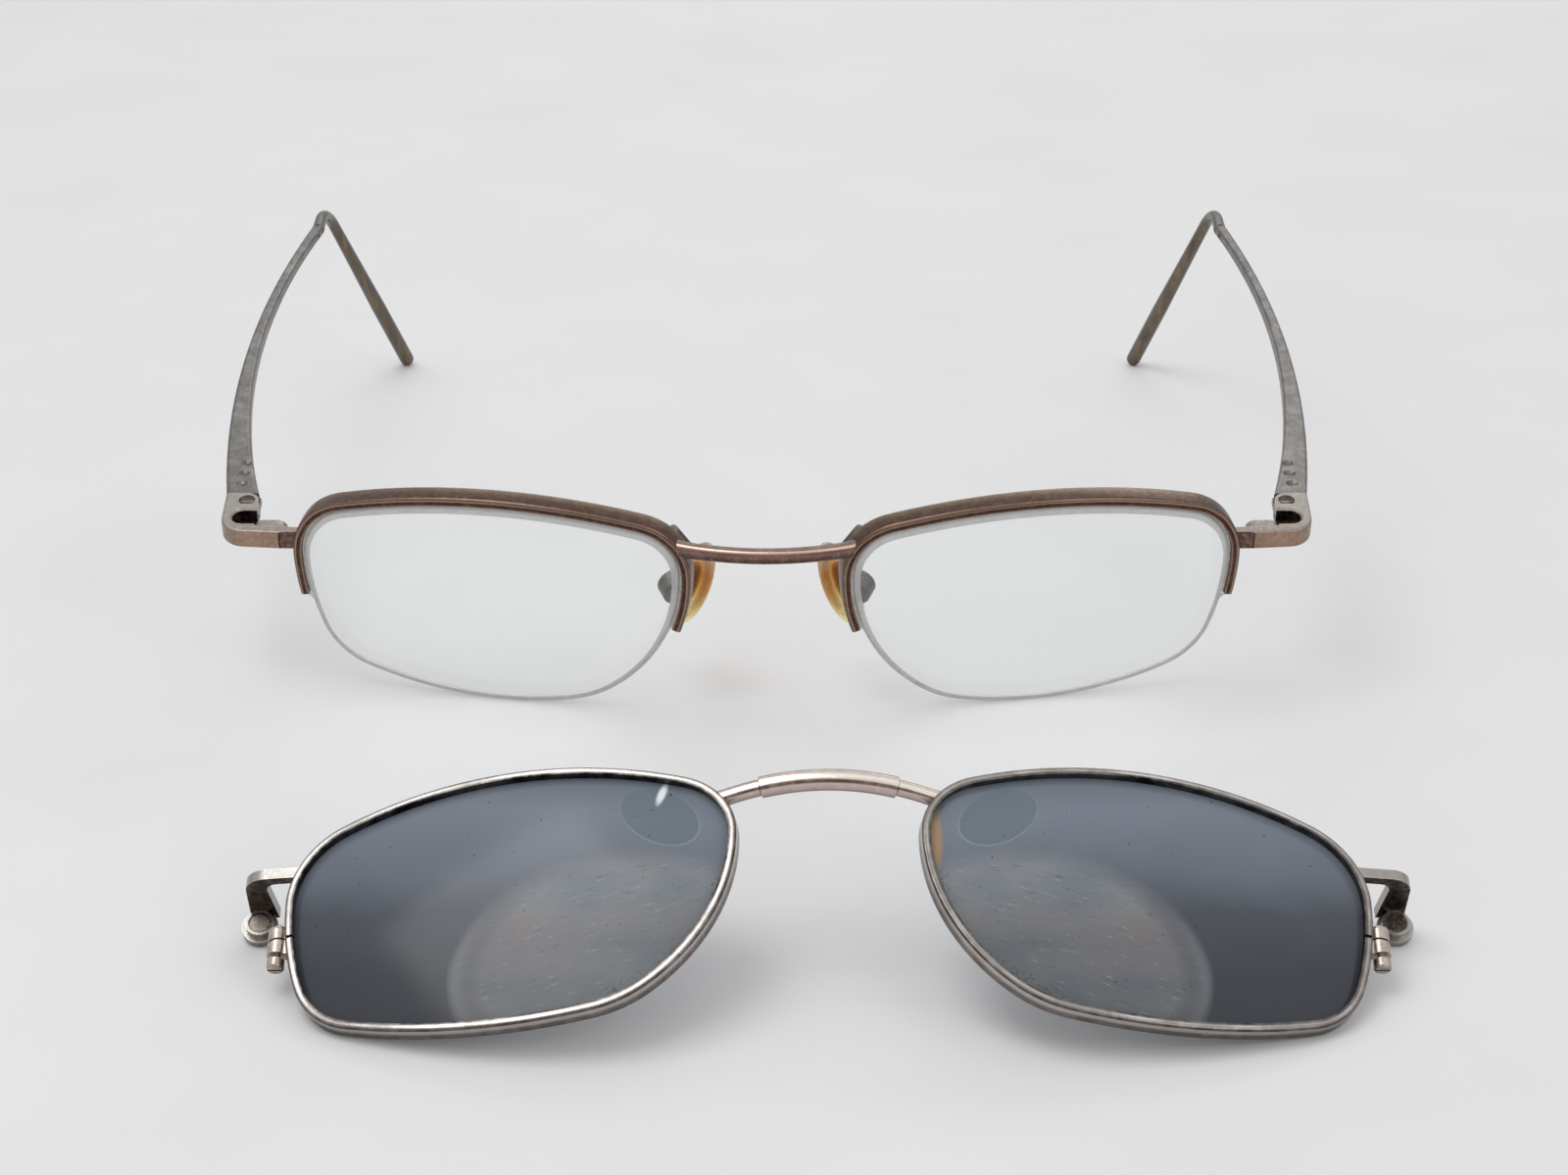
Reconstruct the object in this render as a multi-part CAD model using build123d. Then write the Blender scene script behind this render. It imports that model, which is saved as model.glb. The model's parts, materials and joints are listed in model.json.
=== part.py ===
from build123d import *
import os
from math import cos, radians, sin, sqrt, tan

# A pair of half-rim glasses and the sun clip that hangs on them by magnets.
# Sizes are in millimetres. Everything is drawn in the front's own frame: X across, Y back
# towards the ears, Z up, with the middle of the front at the origin. The last section tips the
# glasses until they stand on the table, lays the clip on the table in front of them and moves
# the origin under the middle of the pair. Left and right are the wearer's, so left is +X.

# Lens outline, seen along the lens's own axis, with u towards the temple and v up
lens_width = 47.2
lens_height = 29.4
temporal_radius = 33.5
top_radius = 61.0
nasal_radius = 21.5
bottom_radius = 57.0
temporal_rise = 3.4      # height of the middle of the temporal side's arc
nasal_rise = 5.9
top_shift = -3.1         # towards the nose
bottom_shift = 1.1
upper_temporal_corner = 8.3
upper_nasal_corner = 6.6
lower_nasal_corner = 13.2
lower_temporal_corner = 8.0

# How the two lenses sit in the front
lens_pitch = 68.4        # lens middle to lens middle
lens_drop = 0.65         # lens middles below the middle of the front
face_form = 11.0         # degrees that each lens turns back towards its temple
lens_curve = 110.0       # radius of the lens's front surface
lens_thickness = 2.0
groove_depth = 0.45
groove_width = 0.6

# Upper half rim, its liner and the cord round the lower edge
liner_thickness = 0.3
liner_depth = 1.1
rim_width = 1.1
rim_proud = 0.35         # how far the rim stands out in front of the lens and behind it
rim_round = 0.4
rim_end_temporal = -3.5  # height of the rim's two ends
rim_end_nasal = -2.2
cord_width = 0.55
cord_proud = 0.12

# Bridge of the glasses
bridge_height = 1.9
bridge_depth = 1.5
bridge_end_z = 9.5
bridge_mid_z = 10.0
bridge_set_back = 0.6    # bar's ends, behind the lens's front surface at the nose side
bridge_bow = 1.7         # bar's middle, ahead of its ends
bridge_foot = 0.9        # how far the bar's ends run past the lenses' nasal sides, into the rims
bridge_round = 0.6

# Endpiece: a bar from the rim, a corner and a leg with the hinge
bar_z = 3.85
bar_height = 2.6
bar_depth = 1.3
bar_set_back = 0.88      # bar's front at the rim, behind the lens's front surface
bar_sweep = 0.7          # how much further back the bar lies at the corner
foot_reach = 2.2         # lower foot at the rim, from the lens's side out
foot_step = 0.2          # its front, behind the bar's front
corner_reach = 9.5       # from the lens's side out to the corner's outer face
corner_round = 3.0
leg_thickness = 2.1
endpiece_round = 0.35
recess_radius = 1.4      # round-ended recess in the top of the leg, open towards the nose
recess_wall = 1.3        # metal left outside it
recess_floor = 0.6       # and under it
recess_lip = 0.3         # bevel round its edge

# Hinge
knuckle_radius = 1.45
knuckle_gap = 0.05       # along the pin, between knuckles
butt_gap = 0.05          # between the endpiece and the temple when open
hinge_inset = 2.75       # from the corner's outer face to the pin
hinge_set_back = 7.88    # pin, behind the lens's front surface
screw_radius = 0.6
screw_head_radius = 1.05
screw_head_height = 0.35
screw_sink = 0.45
running_clearance = 0.03
lower_knuckle = 0.5
middle_knuckle = 0.8
slot_clearance = 0.12
fold_left = 88.0
fold_right = 78.0

# Magnets: a plate behind each endpiece holds one, and a cup on each arm of the clip holds one
holder_thickness = 1.3
holder_width = 4.2
holder_height = 2.5
holder_reach = 3.35      # from the lens's side out to the plate's middle
holder_skin = 0.2        # metal left in front of the magnet
magnet_reach = 3.9       # and to the magnet
frame_magnet_radius = 1.0
magnet_sink = 0.2
magnet_gap = 0.2         # between the two magnets' seats when the clip is on
clip_magnet_radius = 1.2
cup_collar_radius = 1.55
cup_flange_radius = 2.0
cup_collar_depth = 0.9
cup_flange_depth = 0.9
cup_floor = 0.5

# Temple
temple_drop_angle = 6.3  # slope of the temple, down from the front
ear_joint_back = 79.1    # end of the metal, behind the hinge's pin
temple_width = 4.1
temple_bow = 2.6         # outer face at its widest, beyond the corner
temple_bow_back = 35.1   # widest place, behind the pin
temple_bow_width = 1.9
temple_end_in = 1.8      # outer face at the ear joint, inside the corner
temple_end_width = 1.5
temple_height = 2.5
temple_end_height = 1.5
temple_round = 0.4
scoop_count = 3
scoop_radius = 1.1
scoop_sink = 0.4
scoop_first = 2.6        # from the butt to the first scoop
scoop_step = 2.6
scoop_aside = 0.5        # scoops' middles, out from the temple's middle

# Ear tip over the temple's core wire
core_radius = 0.55
ear_tip_radius = 1.05
ear_overlap = 2.0        # sleeve over the end of the metal
ear_run = 7.5            # from the joint to the corner of the bend
ear_bend = 8.0
ear_length = 42.0        # from the corner of the bend to the end
ear_end_y = 16.0         # how far back and how far in the end lies from the corner
ear_end_x = 8.5
core_short = 4.0         # core ends this far inside the tip

# Nose pads
pad_length = 12.6
pad_width = 6.4
pad_thickness = 1.9
pad_round = 0.8
pad_inset = 1.5          # pads' middles, nearer to the nose than the lenses' nasal sides
pad_set_back = 10.0      # pads' middles, behind the lens's front surface at the nose side
pad_z = -2.5
pad_lean = 22.0          # degrees, wider apart at the bottom
pad_splay = 27.0         # degrees, turned back
insert_length = 6.6
insert_width = 3.0
insert_thickness = 0.5
post_length = 1.5
post_width = 1.0
post_height = 1.4
box_length = 3.9         # its back is half round, with this as its diameter
box_width = 2.5
box_depth = 3.2
box_pin = 0.85           # pin, behind the box's open front
box_gap = 0.45           # between the pad's back and the box
box_round = 0.4
post_clearance = 0.08
post_swing_room = 0.35
pad_screw_radius = 0.35
pad_screw_head = 0.65
pad_screw_head_height = 0.4
pad_rock = 7.0
pad_arm_radius = 0.45
pad_arm_foot_z = 8.8     # its foot starts in the middle of the rim, which is cut away from it
pad_arm_back = 4.8
pad_arm_bend = 1.3

# Clip: full rims with sun lenses, drawn in the clip's own frame like the front's
clip_grow = 0.3          # clip lens larger all round than the glasses' lens
clip_lens_thickness = 0.8
clip_rim_width = 0.9
clip_rim_front = 1.0     # how far the rim stands out in front of the lens
clip_rim_back = 0.3      # and behind it
clip_rim_round = 0.3
clip_lip = 0.3           # how deep the lens sits in the rim
dock_forward = 2.6       # how far the clip's front lies ahead of the glasses' front when it is on
dock_drop = 1.2          # and below
clip_bridge_foot = 1.4
clip_bridge_end_z = 11.0
clip_bridge_mid_z = 12.3
clip_bridge_set_back = 0.5
clip_bridge_bow = 1.8
clip_bridge_radius = 0.85
clip_sleeve_radius = 1.1
clip_sleeve_share = 0.6  # of the bridge's span that the thicker middle covers

# Clip arms that hook over the endpieces
arm_thickness = 1.2
arm_clearance = 0.1
arm_leg_width = 2.2
arm_set_ahead = 0.52     # arm's front at the rim, ahead of the lens's front surface
arm_sweep = 0.9
arm_bar_depth = 1.2
arm_root = 1.8           # how far the arm's bar starts inside the lens's side, to be cut at the rim
arm_bend_outer = 2.5
arm_bend_inner = 1.2
arm_round = 0.3

# Clip rim locks
lock_radius = 1.05
lock_top_z = 0.6
lock_split_z = -1.3
lock_bottom_z = -2.9
lock_gap = 0.25
lock_tilt = 8.0
lock_stand_off = 0.75    # from the rim's outer face to the barrel's axis
lock_screw_radius = 0.45
lock_neck = 0.6
lock_set_back = 0.58     # its axis, behind the lens's front surface
lock_head_radius = 0.95
lock_head_height = 1.1
lock_slot = 0.3
lock_cap = 0.5           # metal left over the screw's bore
lock_round = 0.6         # rounding of the upper half's top and
lock_head_round = 0.3    # of the screw's head
lock_block_depth = 1.4   # block between barrel and rim

# How the pair lies
clip_ahead = 77.0        # from the clip's front edge on the table back to the glasses' lens edge
clip_aside = 6.9         # clip towards +X
glasses_tip_range = (0, 40)    # degrees between which the resting angle is looked for
clip_tip_range = (-89, -20)


def lens_surface(across):
    # Where the lens's front surface lies at mid height, this far from the lens's middle
    turn = radians(face_form)
    fall = lens_curve - sqrt(lens_curve ** 2 - across ** 2)
    return Vector(lens_pitch / 2 + across * cos(turn) - fall * sin(turn), across * sin(turn) + fall * cos(turn))


# Worked-out places
lens_outside_x = lens_pitch / 2 + lens_width / 2
lens_nose_x = lens_pitch / 2 - lens_width / 2
lens_outside_y = lens_surface(lens_width / 2).Y
lens_nose_y = lens_surface(-lens_width / 2).Y
bridge_end_y = lens_nose_y + bridge_set_back
bridge_mid_y = bridge_end_y - bridge_bow
clip_bridge_end_y = lens_nose_y + clip_bridge_set_back
clip_bridge_mid_y = clip_bridge_end_y - clip_bridge_bow
bar_front_y = lens_outside_y + bar_set_back
arm_front_y = lens_outside_y - arm_set_ahead
hinge_y = lens_outside_y + hinge_set_back
temple_bow_y = hinge_y + temple_bow_back
ear_joint_y = hinge_y + ear_joint_back
pad_y = lens_nose_y + pad_set_back
bridge_foot_x = lens_nose_x + bridge_foot
clip_bridge_end_x = lens_nose_x + clip_bridge_foot
pad_x = lens_nose_x - pad_inset
foot_x = lens_outside_x + foot_reach
corner_x = lens_outside_x + corner_reach
holder_middle_x = lens_outside_x + holder_reach
magnet_x = lens_outside_x + magnet_reach
temple_bow_x = corner_x + temple_bow
temple_end_x = corner_x - temple_end_in
rim_outer = liner_thickness + rim_width
clip_rim_outer = clip_grow - clip_lip + clip_rim_width
hinge_x = corner_x - hinge_inset
butt_y = hinge_y + knuckle_radius + butt_gap
bar_bottom = bar_z - bar_height / 2
bar_top = bar_z + bar_height / 2
leg_inner_x = corner_x - leg_thickness
temple_slope = tan(radians(temple_drop_angle))
lens_middle_z = -lens_drop

sides = [
    (Vector(lens_width / 2 - temporal_radius, temporal_rise), temporal_radius),
    (Vector(top_shift, lens_height / 2 - top_radius), top_radius),
    (Vector(nasal_radius - lens_width / 2, nasal_rise), nasal_radius),
    (Vector(bottom_shift, bottom_radius - lens_height / 2), bottom_radius),
]
corners = [
    (upper_temporal_corner, Vector(1, 1)),
    (upper_nasal_corner, Vector(-1, 1)),
    (lower_nasal_corner, Vector(-1, -1)),
    (lower_temporal_corner, Vector(1, -1)),
]


def corner_centre(index):
    # A corner arc touches two side arcs, so its centre is where two smaller circles cross
    radius, outward = corners[index]
    centre_a, radius_a = sides[index]
    centre_b, radius_b = sides[(index + 1) % 4]
    reach_a = radius_a - radius
    reach_b = radius_b - radius
    apart = (centre_b - centre_a).length
    along = (reach_a ** 2 - reach_b ** 2 + apart ** 2) / (2 * apart)
    across = sqrt(reach_a ** 2 - along ** 2)
    step = (centre_b - centre_a).normalized()
    turned = Vector(-step.Y, step.X)
    crossings = [centre_a + step * along + turned * across, centre_a + step * along - turned * across]
    return max(crossings, key=lambda point: point.dot(outward))


def arc_about(centre, radius, start, end):
    middle = (start + end).normalized()
    return ThreePointArc(centre + start * radius, centre + middle * radius, centre + end * radius)


def lens_face(grow):
    # The outline of four side arcs and four corner arcs, moved out by grow
    arcs = []
    for index in range(4):
        side_centre, side_radius = sides[index]
        next_centre = sides[(index + 1) % 4][0]
        before = (corner_centre(index - 1) - side_centre).normalized()
        after = (corner_centre(index) - side_centre).normalized()
        following = (corner_centre(index) - next_centre).normalized()
        arcs.append(arc_about(side_centre, side_radius + grow, before, after))
        arcs.append(arc_about(corner_centre(index), corners[index][0] + grow, after, following))
    return make_face(Wire(arcs))


def nasal_edge(height):
    # How far across the lens's nasal side lies at this height
    centre, radius = sides[2]
    corner = corner_centre(1)
    touch = corner + (corner - centre).normalized() * upper_nasal_corner
    if height > touch.Y:
        centre, radius = corner, upper_nasal_corner
    return centre.X - sqrt(radius ** 2 - (height - centre.Y) ** 2)


def lens_prism(grow):
    return extrude(lens_face(grow), amount=lens_width / 2, both=True)


def lens_ball(depth):
    # Ball whose surface lies this far behind the front surface of the lens
    return Pos(0, 0, -lens_curve) * Sphere(lens_curve - depth, rotation=(90, 0, 0))


def curved_plate(grow, front, back):
    return lens_prism(grow) & (lens_ball(front) - lens_ball(back))


def curved_ring(outer, inner, front, back):
    return (lens_prism(outer) - lens_prism(inner)) & (lens_ball(front) - lens_ball(back))


def rounded(solid, edges, radius):
    return fillet(edges, radius) if edges else solid


def lens_place(middle_z):
    turn = radians(face_form)
    return Plane(
        origin=(lens_pitch / 2, 0, middle_z),
        x_dir=(cos(turn), sin(turn), 0),
        z_dir=(sin(turn), -cos(turn), 0),
    ).location


def long_edges(shape, length):
    return [edge for edge in shape.edges() if edge.length > length]


def block(x_range, y_range, z_range):
    size = [high - low for low, high in (x_range, y_range, z_range)]
    middle = [(high + low) / 2 for low, high in (x_range, y_range, z_range)]
    return Pos(*middle) * Box(*size)


def upright(x, y, low, high, radius):
    return Pos(x, y, (low + high) / 2) * Cylinder(radius, high - low)


def lying(x, z, front, back, radius):
    # Cylinder along Y
    return Pos(x, (front + back) / 2, z) * Rot(90, 0, 0) * Cylinder(radius, back - front)


far = 60.0               # larger than any cut needs

# Glasses: lens, cord, liner and upper rim
glasses_place = lens_place(lens_middle_z)
groove_middle = lens_thickness / 2
groove_front = groove_middle - groove_width / 2
groove_back = groove_middle + groove_width / 2


def below_rim(shape, gap=0.0):
    # What is left of a ring below the rim's two ends
    ends = block((0, far), (-far, rim_end_temporal + lens_drop - gap), (-far, far))
    ends += block((-far, 0), (-far, rim_end_nasal + lens_drop - gap), (-far, far))
    return shape & ends


def above_ends(shape):
    ends = block((0, far), (rim_end_temporal + lens_drop, far), (-far, far))
    ends += block((-far, 0), (rim_end_nasal + lens_drop, far), (-far, far))
    return shape & ends


def make_lens():
    groove = curved_ring(rim_outer, -groove_depth, groove_front, groove_back)
    return glasses_place * (curved_plate(0, 0, lens_thickness) - groove)


def make_cord():
    cord_front = groove_middle - cord_width / 2
    ring = curved_ring(cord_proud, -groove_depth, cord_front, cord_front + cord_width)
    return glasses_place * below_rim(ring)


def make_liner():
    strip = curved_ring(liner_thickness, 0, groove_middle - liner_depth / 2, groove_middle + liner_depth / 2)
    tongue = curved_ring(liner_thickness, -groove_depth, groove_front, groove_back)
    return glasses_place * above_ends(strip + tongue)


def make_upper_rim():
    ring = curved_ring(rim_outer, liner_thickness, -rim_proud, lens_thickness + rim_proud)
    rim = above_ends(ring)
    outer = [edge for edge in long_edges(rim, 2.0) if on_outline(edge, rim_outer)]
    return glasses_place * rounded(rim, outer, rim_round)


def on_outline(edge, grow):
    # True for an edge that lies on the outline moved out by grow
    point = edge.position_at(0.5)
    flat = Vector(point.X, point.Y)
    for index in range(4):
        centre, radius = sides[index]
        if abs((flat - centre).length - radius - grow) < 0.01:
            return True
        if abs((flat - corner_centre(index)).length - corners[index][0] - grow) < 0.01:
            return True
    return False


glasses_rim_space = glasses_place * lens_prism(rim_outer)
both_rim_spaces = glasses_rim_space + mirror(glasses_rim_space, Plane.YZ)


# Bridge: a bar on a shallow arc between the rims
def bowed_bar(section, end_x, end_y, end_z, mid_y, mid_z):
    path = ThreePointArc((-end_x, end_y, end_z), (0, mid_y, mid_z), (end_x, end_y, end_z))
    start = Plane(origin=path @ 0, z_dir=path % 0, x_dir=(0, 0, 1))
    return sweep(start * section, path=path)


def make_bridge():
    section = RectangleRounded(bridge_height, bridge_depth, bridge_round)
    bar = bowed_bar(section, bridge_foot_x, bridge_end_y, bridge_end_z, bridge_mid_y, bridge_mid_z)
    return bar - both_rim_spaces


# Endpiece: foot, bar, corner and leg drawn in plan, with the hinge's fixed knuckles
bar_slope = bar_sweep / corner_reach
bar_inner_x = lens_outside_x - rim_width


def bar_front(x):
    return bar_front_y + bar_slope * (x - bar_inner_x)


def make_endpiece():
    foot_front = bar_front(foot_x) + foot_step
    outline = [
        (bar_inner_x, foot_front),
        (foot_x - foot_step, foot_front),
        (foot_x, bar_front(foot_x)),
        (corner_x, bar_front(corner_x)),
        (corner_x, butt_y - butt_gap),
        (leg_inner_x, butt_y - butt_gap),
        (leg_inner_x, bar_front(leg_inner_x) + bar_depth),
        (bar_inner_x, bar_front(bar_inner_x) + bar_depth),
    ]
    plan = make_face(Polyline(*outline, close=True))
    corner = plan.vertices().sort_by(lambda vertex: vertex.X - vertex.Y)[-1]
    plan = fillet(corner, corner_round)
    bent = Pos(0, 0, bar_bottom) * extrude(plan, amount=bar_height)
    outer_edges = [edge for edge in bent.edges() if edge.center().Y < bar_front(edge.center().X) + 0.01]
    outer_edges = [edge for edge in outer_edges if abs((edge % 0.5).Z) < 0.5]
    outer_edges += [edge for edge in bent.edges() if edge.center().X > corner_x - 0.01 and abs((edge % 0.5).Z) < 0.5]
    outer_edges += [edge for edge in bent.edges().filter_by(GeomType.CIRCLE)]
    bent = fillet(outer_edges, endpiece_round)
    # Hinge housing: fixed knuckles round the pin, joined to the leg in front of it
    housing = upright(hinge_x, hinge_y, bar_bottom, bar_top, knuckle_radius)
    housing += block(
        (hinge_x - knuckle_radius, leg_inner_x),
        (bar_front(leg_inner_x) + bar_depth / 2, hinge_y),
        (bar_bottom, bar_top),
    )
    housing += block((hinge_x, leg_inner_x), (hinge_y, hinge_y + knuckle_radius), (bar_bottom, bar_top))
    swing = knuckle_radius + slot_clearance
    tongue_room = block(
        (hinge_x - far, hinge_x + swing),
        (hinge_y - swing, hinge_y + far),
        (tongue_bottom - knuckle_gap, tongue_top + knuckle_gap),
    )
    whole = bent + housing - tongue_room - leg_recess()
    whole -= upright(hinge_x, hinge_y, bar_bottom - 1, bar_top + 1, screw_radius)
    whole -= upright(hinge_x, hinge_y, head_seat, bar_top + 1, screw_head_radius)
    return whole - glasses_rim_space


def leg_recess():
    # Slot with a round end outside, cut down from the top, its edge bevelled
    x = corner_x - recess_wall - recess_radius
    y = bar_front(corner_x) + bar_depth + recess_lip + recess_radius
    room = Pos(x, y) * Circle(recess_radius)
    room += Pos(x - knuckle_radius, y) * Rectangle(2 * knuckle_radius, 2 * recess_radius)
    well = Pos(0, 0, bar_bottom + recess_floor) * extrude(room, amount=bar_height)
    return well + Pos(0, 0, bar_top - recess_lip) * extrude(room, amount=2 * recess_lip, taper=-45)


tongue_bottom = bar_bottom + lower_knuckle + knuckle_gap
tongue_top = tongue_bottom + middle_knuckle
head_seat = bar_top - screw_sink - screw_head_height


def make_hinge_screw():
    shank = upright(hinge_x, hinge_y, bar_bottom, head_seat, screw_radius)
    head = upright(hinge_x, hinge_y, head_seat, head_seat + screw_head_height, screw_head_radius)
    slot = block(
        (hinge_x - far, hinge_x + far),
        (hinge_y - lock_slot / 2, hinge_y + lock_slot / 2),
        (head_seat + screw_head_height / 2, bar_top),
    )
    return shank + head - slot


# Frame magnet in a plate on the back of the endpiece
holder_front = bar_front(holder_middle_x) + bar_depth
holder_back = holder_front + holder_thickness
holder_floor = holder_front + holder_skin


def make_holder():
    plate = Pos(holder_middle_x, holder_back, bar_z) * Rot(90, 0, 0) * extrude(
        SlotOverall(holder_width, holder_height), amount=holder_thickness + bar_depth / 2
    )
    pocket = lying(magnet_x, bar_z, holder_floor, holder_back + 1, frame_magnet_radius)
    return plate - pocket - endpiece


def make_frame_magnet():
    return lying(magnet_x, bar_z, holder_floor, holder_back - magnet_sink, frame_magnet_radius)


# Temple: its plan and its side view cross to give the blade, and a tongue runs into the hinge
def temple_z(y):
    return bar_z - temple_slope * (y - butt_y)


def make_temple_blade():
    outer = ThreePointArc((corner_x, butt_y), (temple_bow_x, temple_bow_y), (temple_end_x, ear_joint_y))
    inner = ThreePointArc(
        (temple_end_x - temple_end_width, ear_joint_y),
        (temple_bow_x - temple_bow_width, temple_bow_y),
        (corner_x - temple_width, butt_y),
    )
    ends = [Line(outer @ 1, inner @ 0), Line(inner @ 1, outer @ 0)]
    plan = make_face(Wire([outer, ends[0], inner, ends[1]]))
    above = Pos(0, 0, -far) * extrude(plan, amount=2 * far)
    side = Polyline(
        (0, butt_y, bar_z + temple_height / 2),
        (0, ear_joint_y, temple_z(ear_joint_y) + temple_end_height / 2),
        (0, ear_joint_y, temple_z(ear_joint_y) - temple_end_height / 2),
        (0, butt_y, bar_z - temple_height / 2),
        close=True,
    )
    across = extrude(make_face(side), amount=2 * far, dir=(1, 0, 0))
    blade = above & across
    return fillet(long_edges(blade, ear_joint_y / 2), temple_round)


def make_temple():
    blade = make_temple_blade()
    for index in range(scoop_count):
        y = butt_y + scoop_first + index * scoop_step
        top = temple_z(y) + temple_height / 2
        blade -= Pos(corner_x - temple_width / 2 + scoop_aside, y, top + scoop_radius - scoop_sink) * Sphere(scoop_radius)
    tongue = upright(hinge_x, hinge_y, tongue_bottom, tongue_top, knuckle_radius)
    tongue += block(
        (hinge_x - knuckle_radius, hinge_x + knuckle_radius),
        (hinge_y, butt_y + 0.6),
        (tongue_bottom, tongue_top),
    )
    pin_room = upright(hinge_x, hinge_y, -far, far, screw_radius + running_clearance)
    return blade + tongue - pin_room + make_core()


# Ear tip: a bent sleeve over the temple's core wire
ear_x = temple_end_x - temple_end_width / 2
ear_start = Vector(ear_x, ear_joint_y, temple_z(ear_joint_y))
ear_direction = Vector(0, 1, -temple_slope).normalized()
ear_corner = ear_start + ear_direction * ear_run
ear_fall = sqrt(ear_length ** 2 - ear_end_x ** 2 - ear_end_y ** 2)
ear_end_direction = Vector(-ear_end_x, ear_end_y, -ear_fall).normalized()


def bent_rod(start, length, radius):
    path = FilletPolyline(start, ear_corner, ear_corner + ear_end_direction * length, radius=ear_bend)
    section = Plane(origin=start, z_dir=ear_direction) * Circle(radius)
    return sweep(section, path=path)


def make_core():
    return bent_rod(ear_start - ear_direction * ear_overlap, ear_length - core_short, core_radius)


def make_ear_tip():
    sleeve = bent_rod(ear_start - ear_direction, ear_length - ear_tip_radius, ear_tip_radius)
    sleeve -= block((0, 2 * far), (0, ear_joint_y), (-far, far))
    sleeve += Pos(*(ear_corner + ear_end_direction * (ear_length - ear_tip_radius))) * Sphere(ear_tip_radius)
    return sleeve - make_core()


# Nose pad, its insert and the box that holds it, drawn with x back, y up and z towards the nose
def pad_place():
    lean = radians(pad_lean)
    splay = radians(pad_splay)
    up = Vector(-sin(lean), 0, cos(lean))
    towards_nose = Vector(-cos(splay) * cos(lean), sin(splay), -cos(splay) * sin(lean))
    return Plane(origin=(pad_x, pad_y, pad_z), x_dir=up.cross(towards_nose), z_dir=towards_nose).location


pad_frame = pad_place()
insert_front = 0.1
box_front = -pad_thickness / 2 - box_gap
box_middle = box_front - box_depth + box_length / 2
pin_depth = box_front - box_pin


def pad_insert_shape(ease=0.0):
    plate = Pos(0, 0, insert_front - insert_thickness) * extrude(
        Ellipse(insert_width / 2, insert_length / 2), amount=insert_thickness
    )
    post = block(
        (-post_width / 2, post_width / 2),
        (-post_height / 2, post_height / 2),
        (pin_depth, insert_front - insert_thickness / 2),
    )
    nose = Pos(0, 0, pin_depth) * Rot(0, 90, 0) * Cylinder(post_height / 2, post_width)
    return plate + post + nose


def make_nose_pad():
    face = Ellipse(pad_width / 2, pad_length / 2)
    body = Pos(0, 0, -pad_thickness / 2) * extrude(face, amount=pad_thickness)
    body = fillet(body.edges(), pad_round)
    return pad_frame * (body - pad_insert_shape())


def make_pad_insert():
    pin_room = Pos(0, 0, pin_depth) * Rot(0, 90, 0) * Cylinder(pad_screw_radius + running_clearance, far)
    return pad_frame * (pad_insert_shape() - pin_room)


def make_pad_box():
    body = Pos(0, 0, box_middle) * Rot(0, 90, 0) * Cylinder(box_length / 2, box_width)
    body += block(
        (-box_width / 2, box_width / 2), (-box_length / 2, box_length / 2), (box_middle, box_front)
    )
    body -= block((-far, far), (-far, far), (box_front, far))
    rims = [edge for edge in body.edges() if abs(abs(edge.center().X) - box_width / 2) < 0.01]
    body = fillet([edge for edge in rims if edge.center().Z < box_front - 0.01], box_round)
    slot_half = post_height / 2 + post_swing_room
    slot = block(
        (-post_width / 2 - post_clearance, post_width / 2 + post_clearance),
        (-slot_half, slot_half),
        (pin_depth - post_height / 2 - post_clearance, box_front + 1),
    )
    pin_hole = Pos(0, 0, pin_depth) * Rot(0, 90, 0) * Cylinder(pad_screw_radius, far)
    return pad_frame * (body - slot - pin_hole)


def make_pad_screw():
    shank = Pos(0, 0, pin_depth) * Rot(0, 90, 0) * Cylinder(pad_screw_radius, box_width)
    head = Pos(-box_width / 2 - pad_screw_head_height / 2, 0, pin_depth) * Rot(0, 90, 0) * Cylinder(
        pad_screw_head, pad_screw_head_height
    )
    return pad_frame * (shank + head)


def make_pad_arm():
    box_top = (pad_frame * Pos(0, box_length / 2, pin_depth)).position
    up = (pad_frame * Pos(0, box_length / 2 + 1, pin_depth)).position - box_top
    height = pad_arm_foot_z + lens_drop
    across = nasal_edge(height) - liner_thickness - rim_width / 2
    middle_ball = lens_curve - lens_thickness / 2
    fall = lens_curve - sqrt(middle_ball ** 2 - across ** 2 - height ** 2)
    foot = (glasses_place * Pos(across, height, -fall)).position
    points = [
        foot,
        foot + Vector(pad_arm_back / 4, pad_arm_back, 0.3),
        box_top + up * 3.4,
        box_top,
    ]
    path = FilletPolyline(*points, radius=pad_arm_bend)
    section = Plane(origin=points[0], z_dir=(points[1] - points[0]).normalized()) * Circle(pad_arm_radius)
    rim_room = curved_plate(rim_outer, -rim_proud, lens_thickness + rim_proud)
    return sweep(section, path=path) - glasses_place * rim_room


# Clip: rims, lenses and bridge
clip_place = lens_place(0)
clip_lens_edge = clip_grow
clip_inner = clip_grow - clip_lip
clip_back = clip_lens_thickness + clip_rim_back
clip_rim_space = clip_place * lens_prism(clip_rim_outer)
both_clip_spaces = clip_rim_space + mirror(clip_rim_space, Plane.YZ)
lock_x = lens_surface(lens_width / 2 + clip_rim_outer).X + lock_stand_off
lock_y = lens_outside_y + lock_set_back


def lock_cut(gap):
    # The slanted saw cut through the lock and the rim
    return Pos(lock_x, lock_y, lock_split_z) * Rot(0, lock_tilt, 0) * Box(8, 8, gap)


def make_clip_lens():
    return clip_place * curved_plate(clip_lens_edge, 0, clip_lens_thickness)


def make_clip_rim():
    ring = curved_ring(clip_rim_outer, clip_inner, -clip_rim_front, clip_back)
    outer = [edge for edge in long_edges(ring, 2.0) if on_outline(edge, clip_rim_outer)]
    ring = rounded(ring, outer, clip_rim_round)
    ring -= curved_plate(clip_lens_edge, 0, clip_lens_thickness)
    return clip_place * ring - lock_cut(lock_gap)


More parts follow.
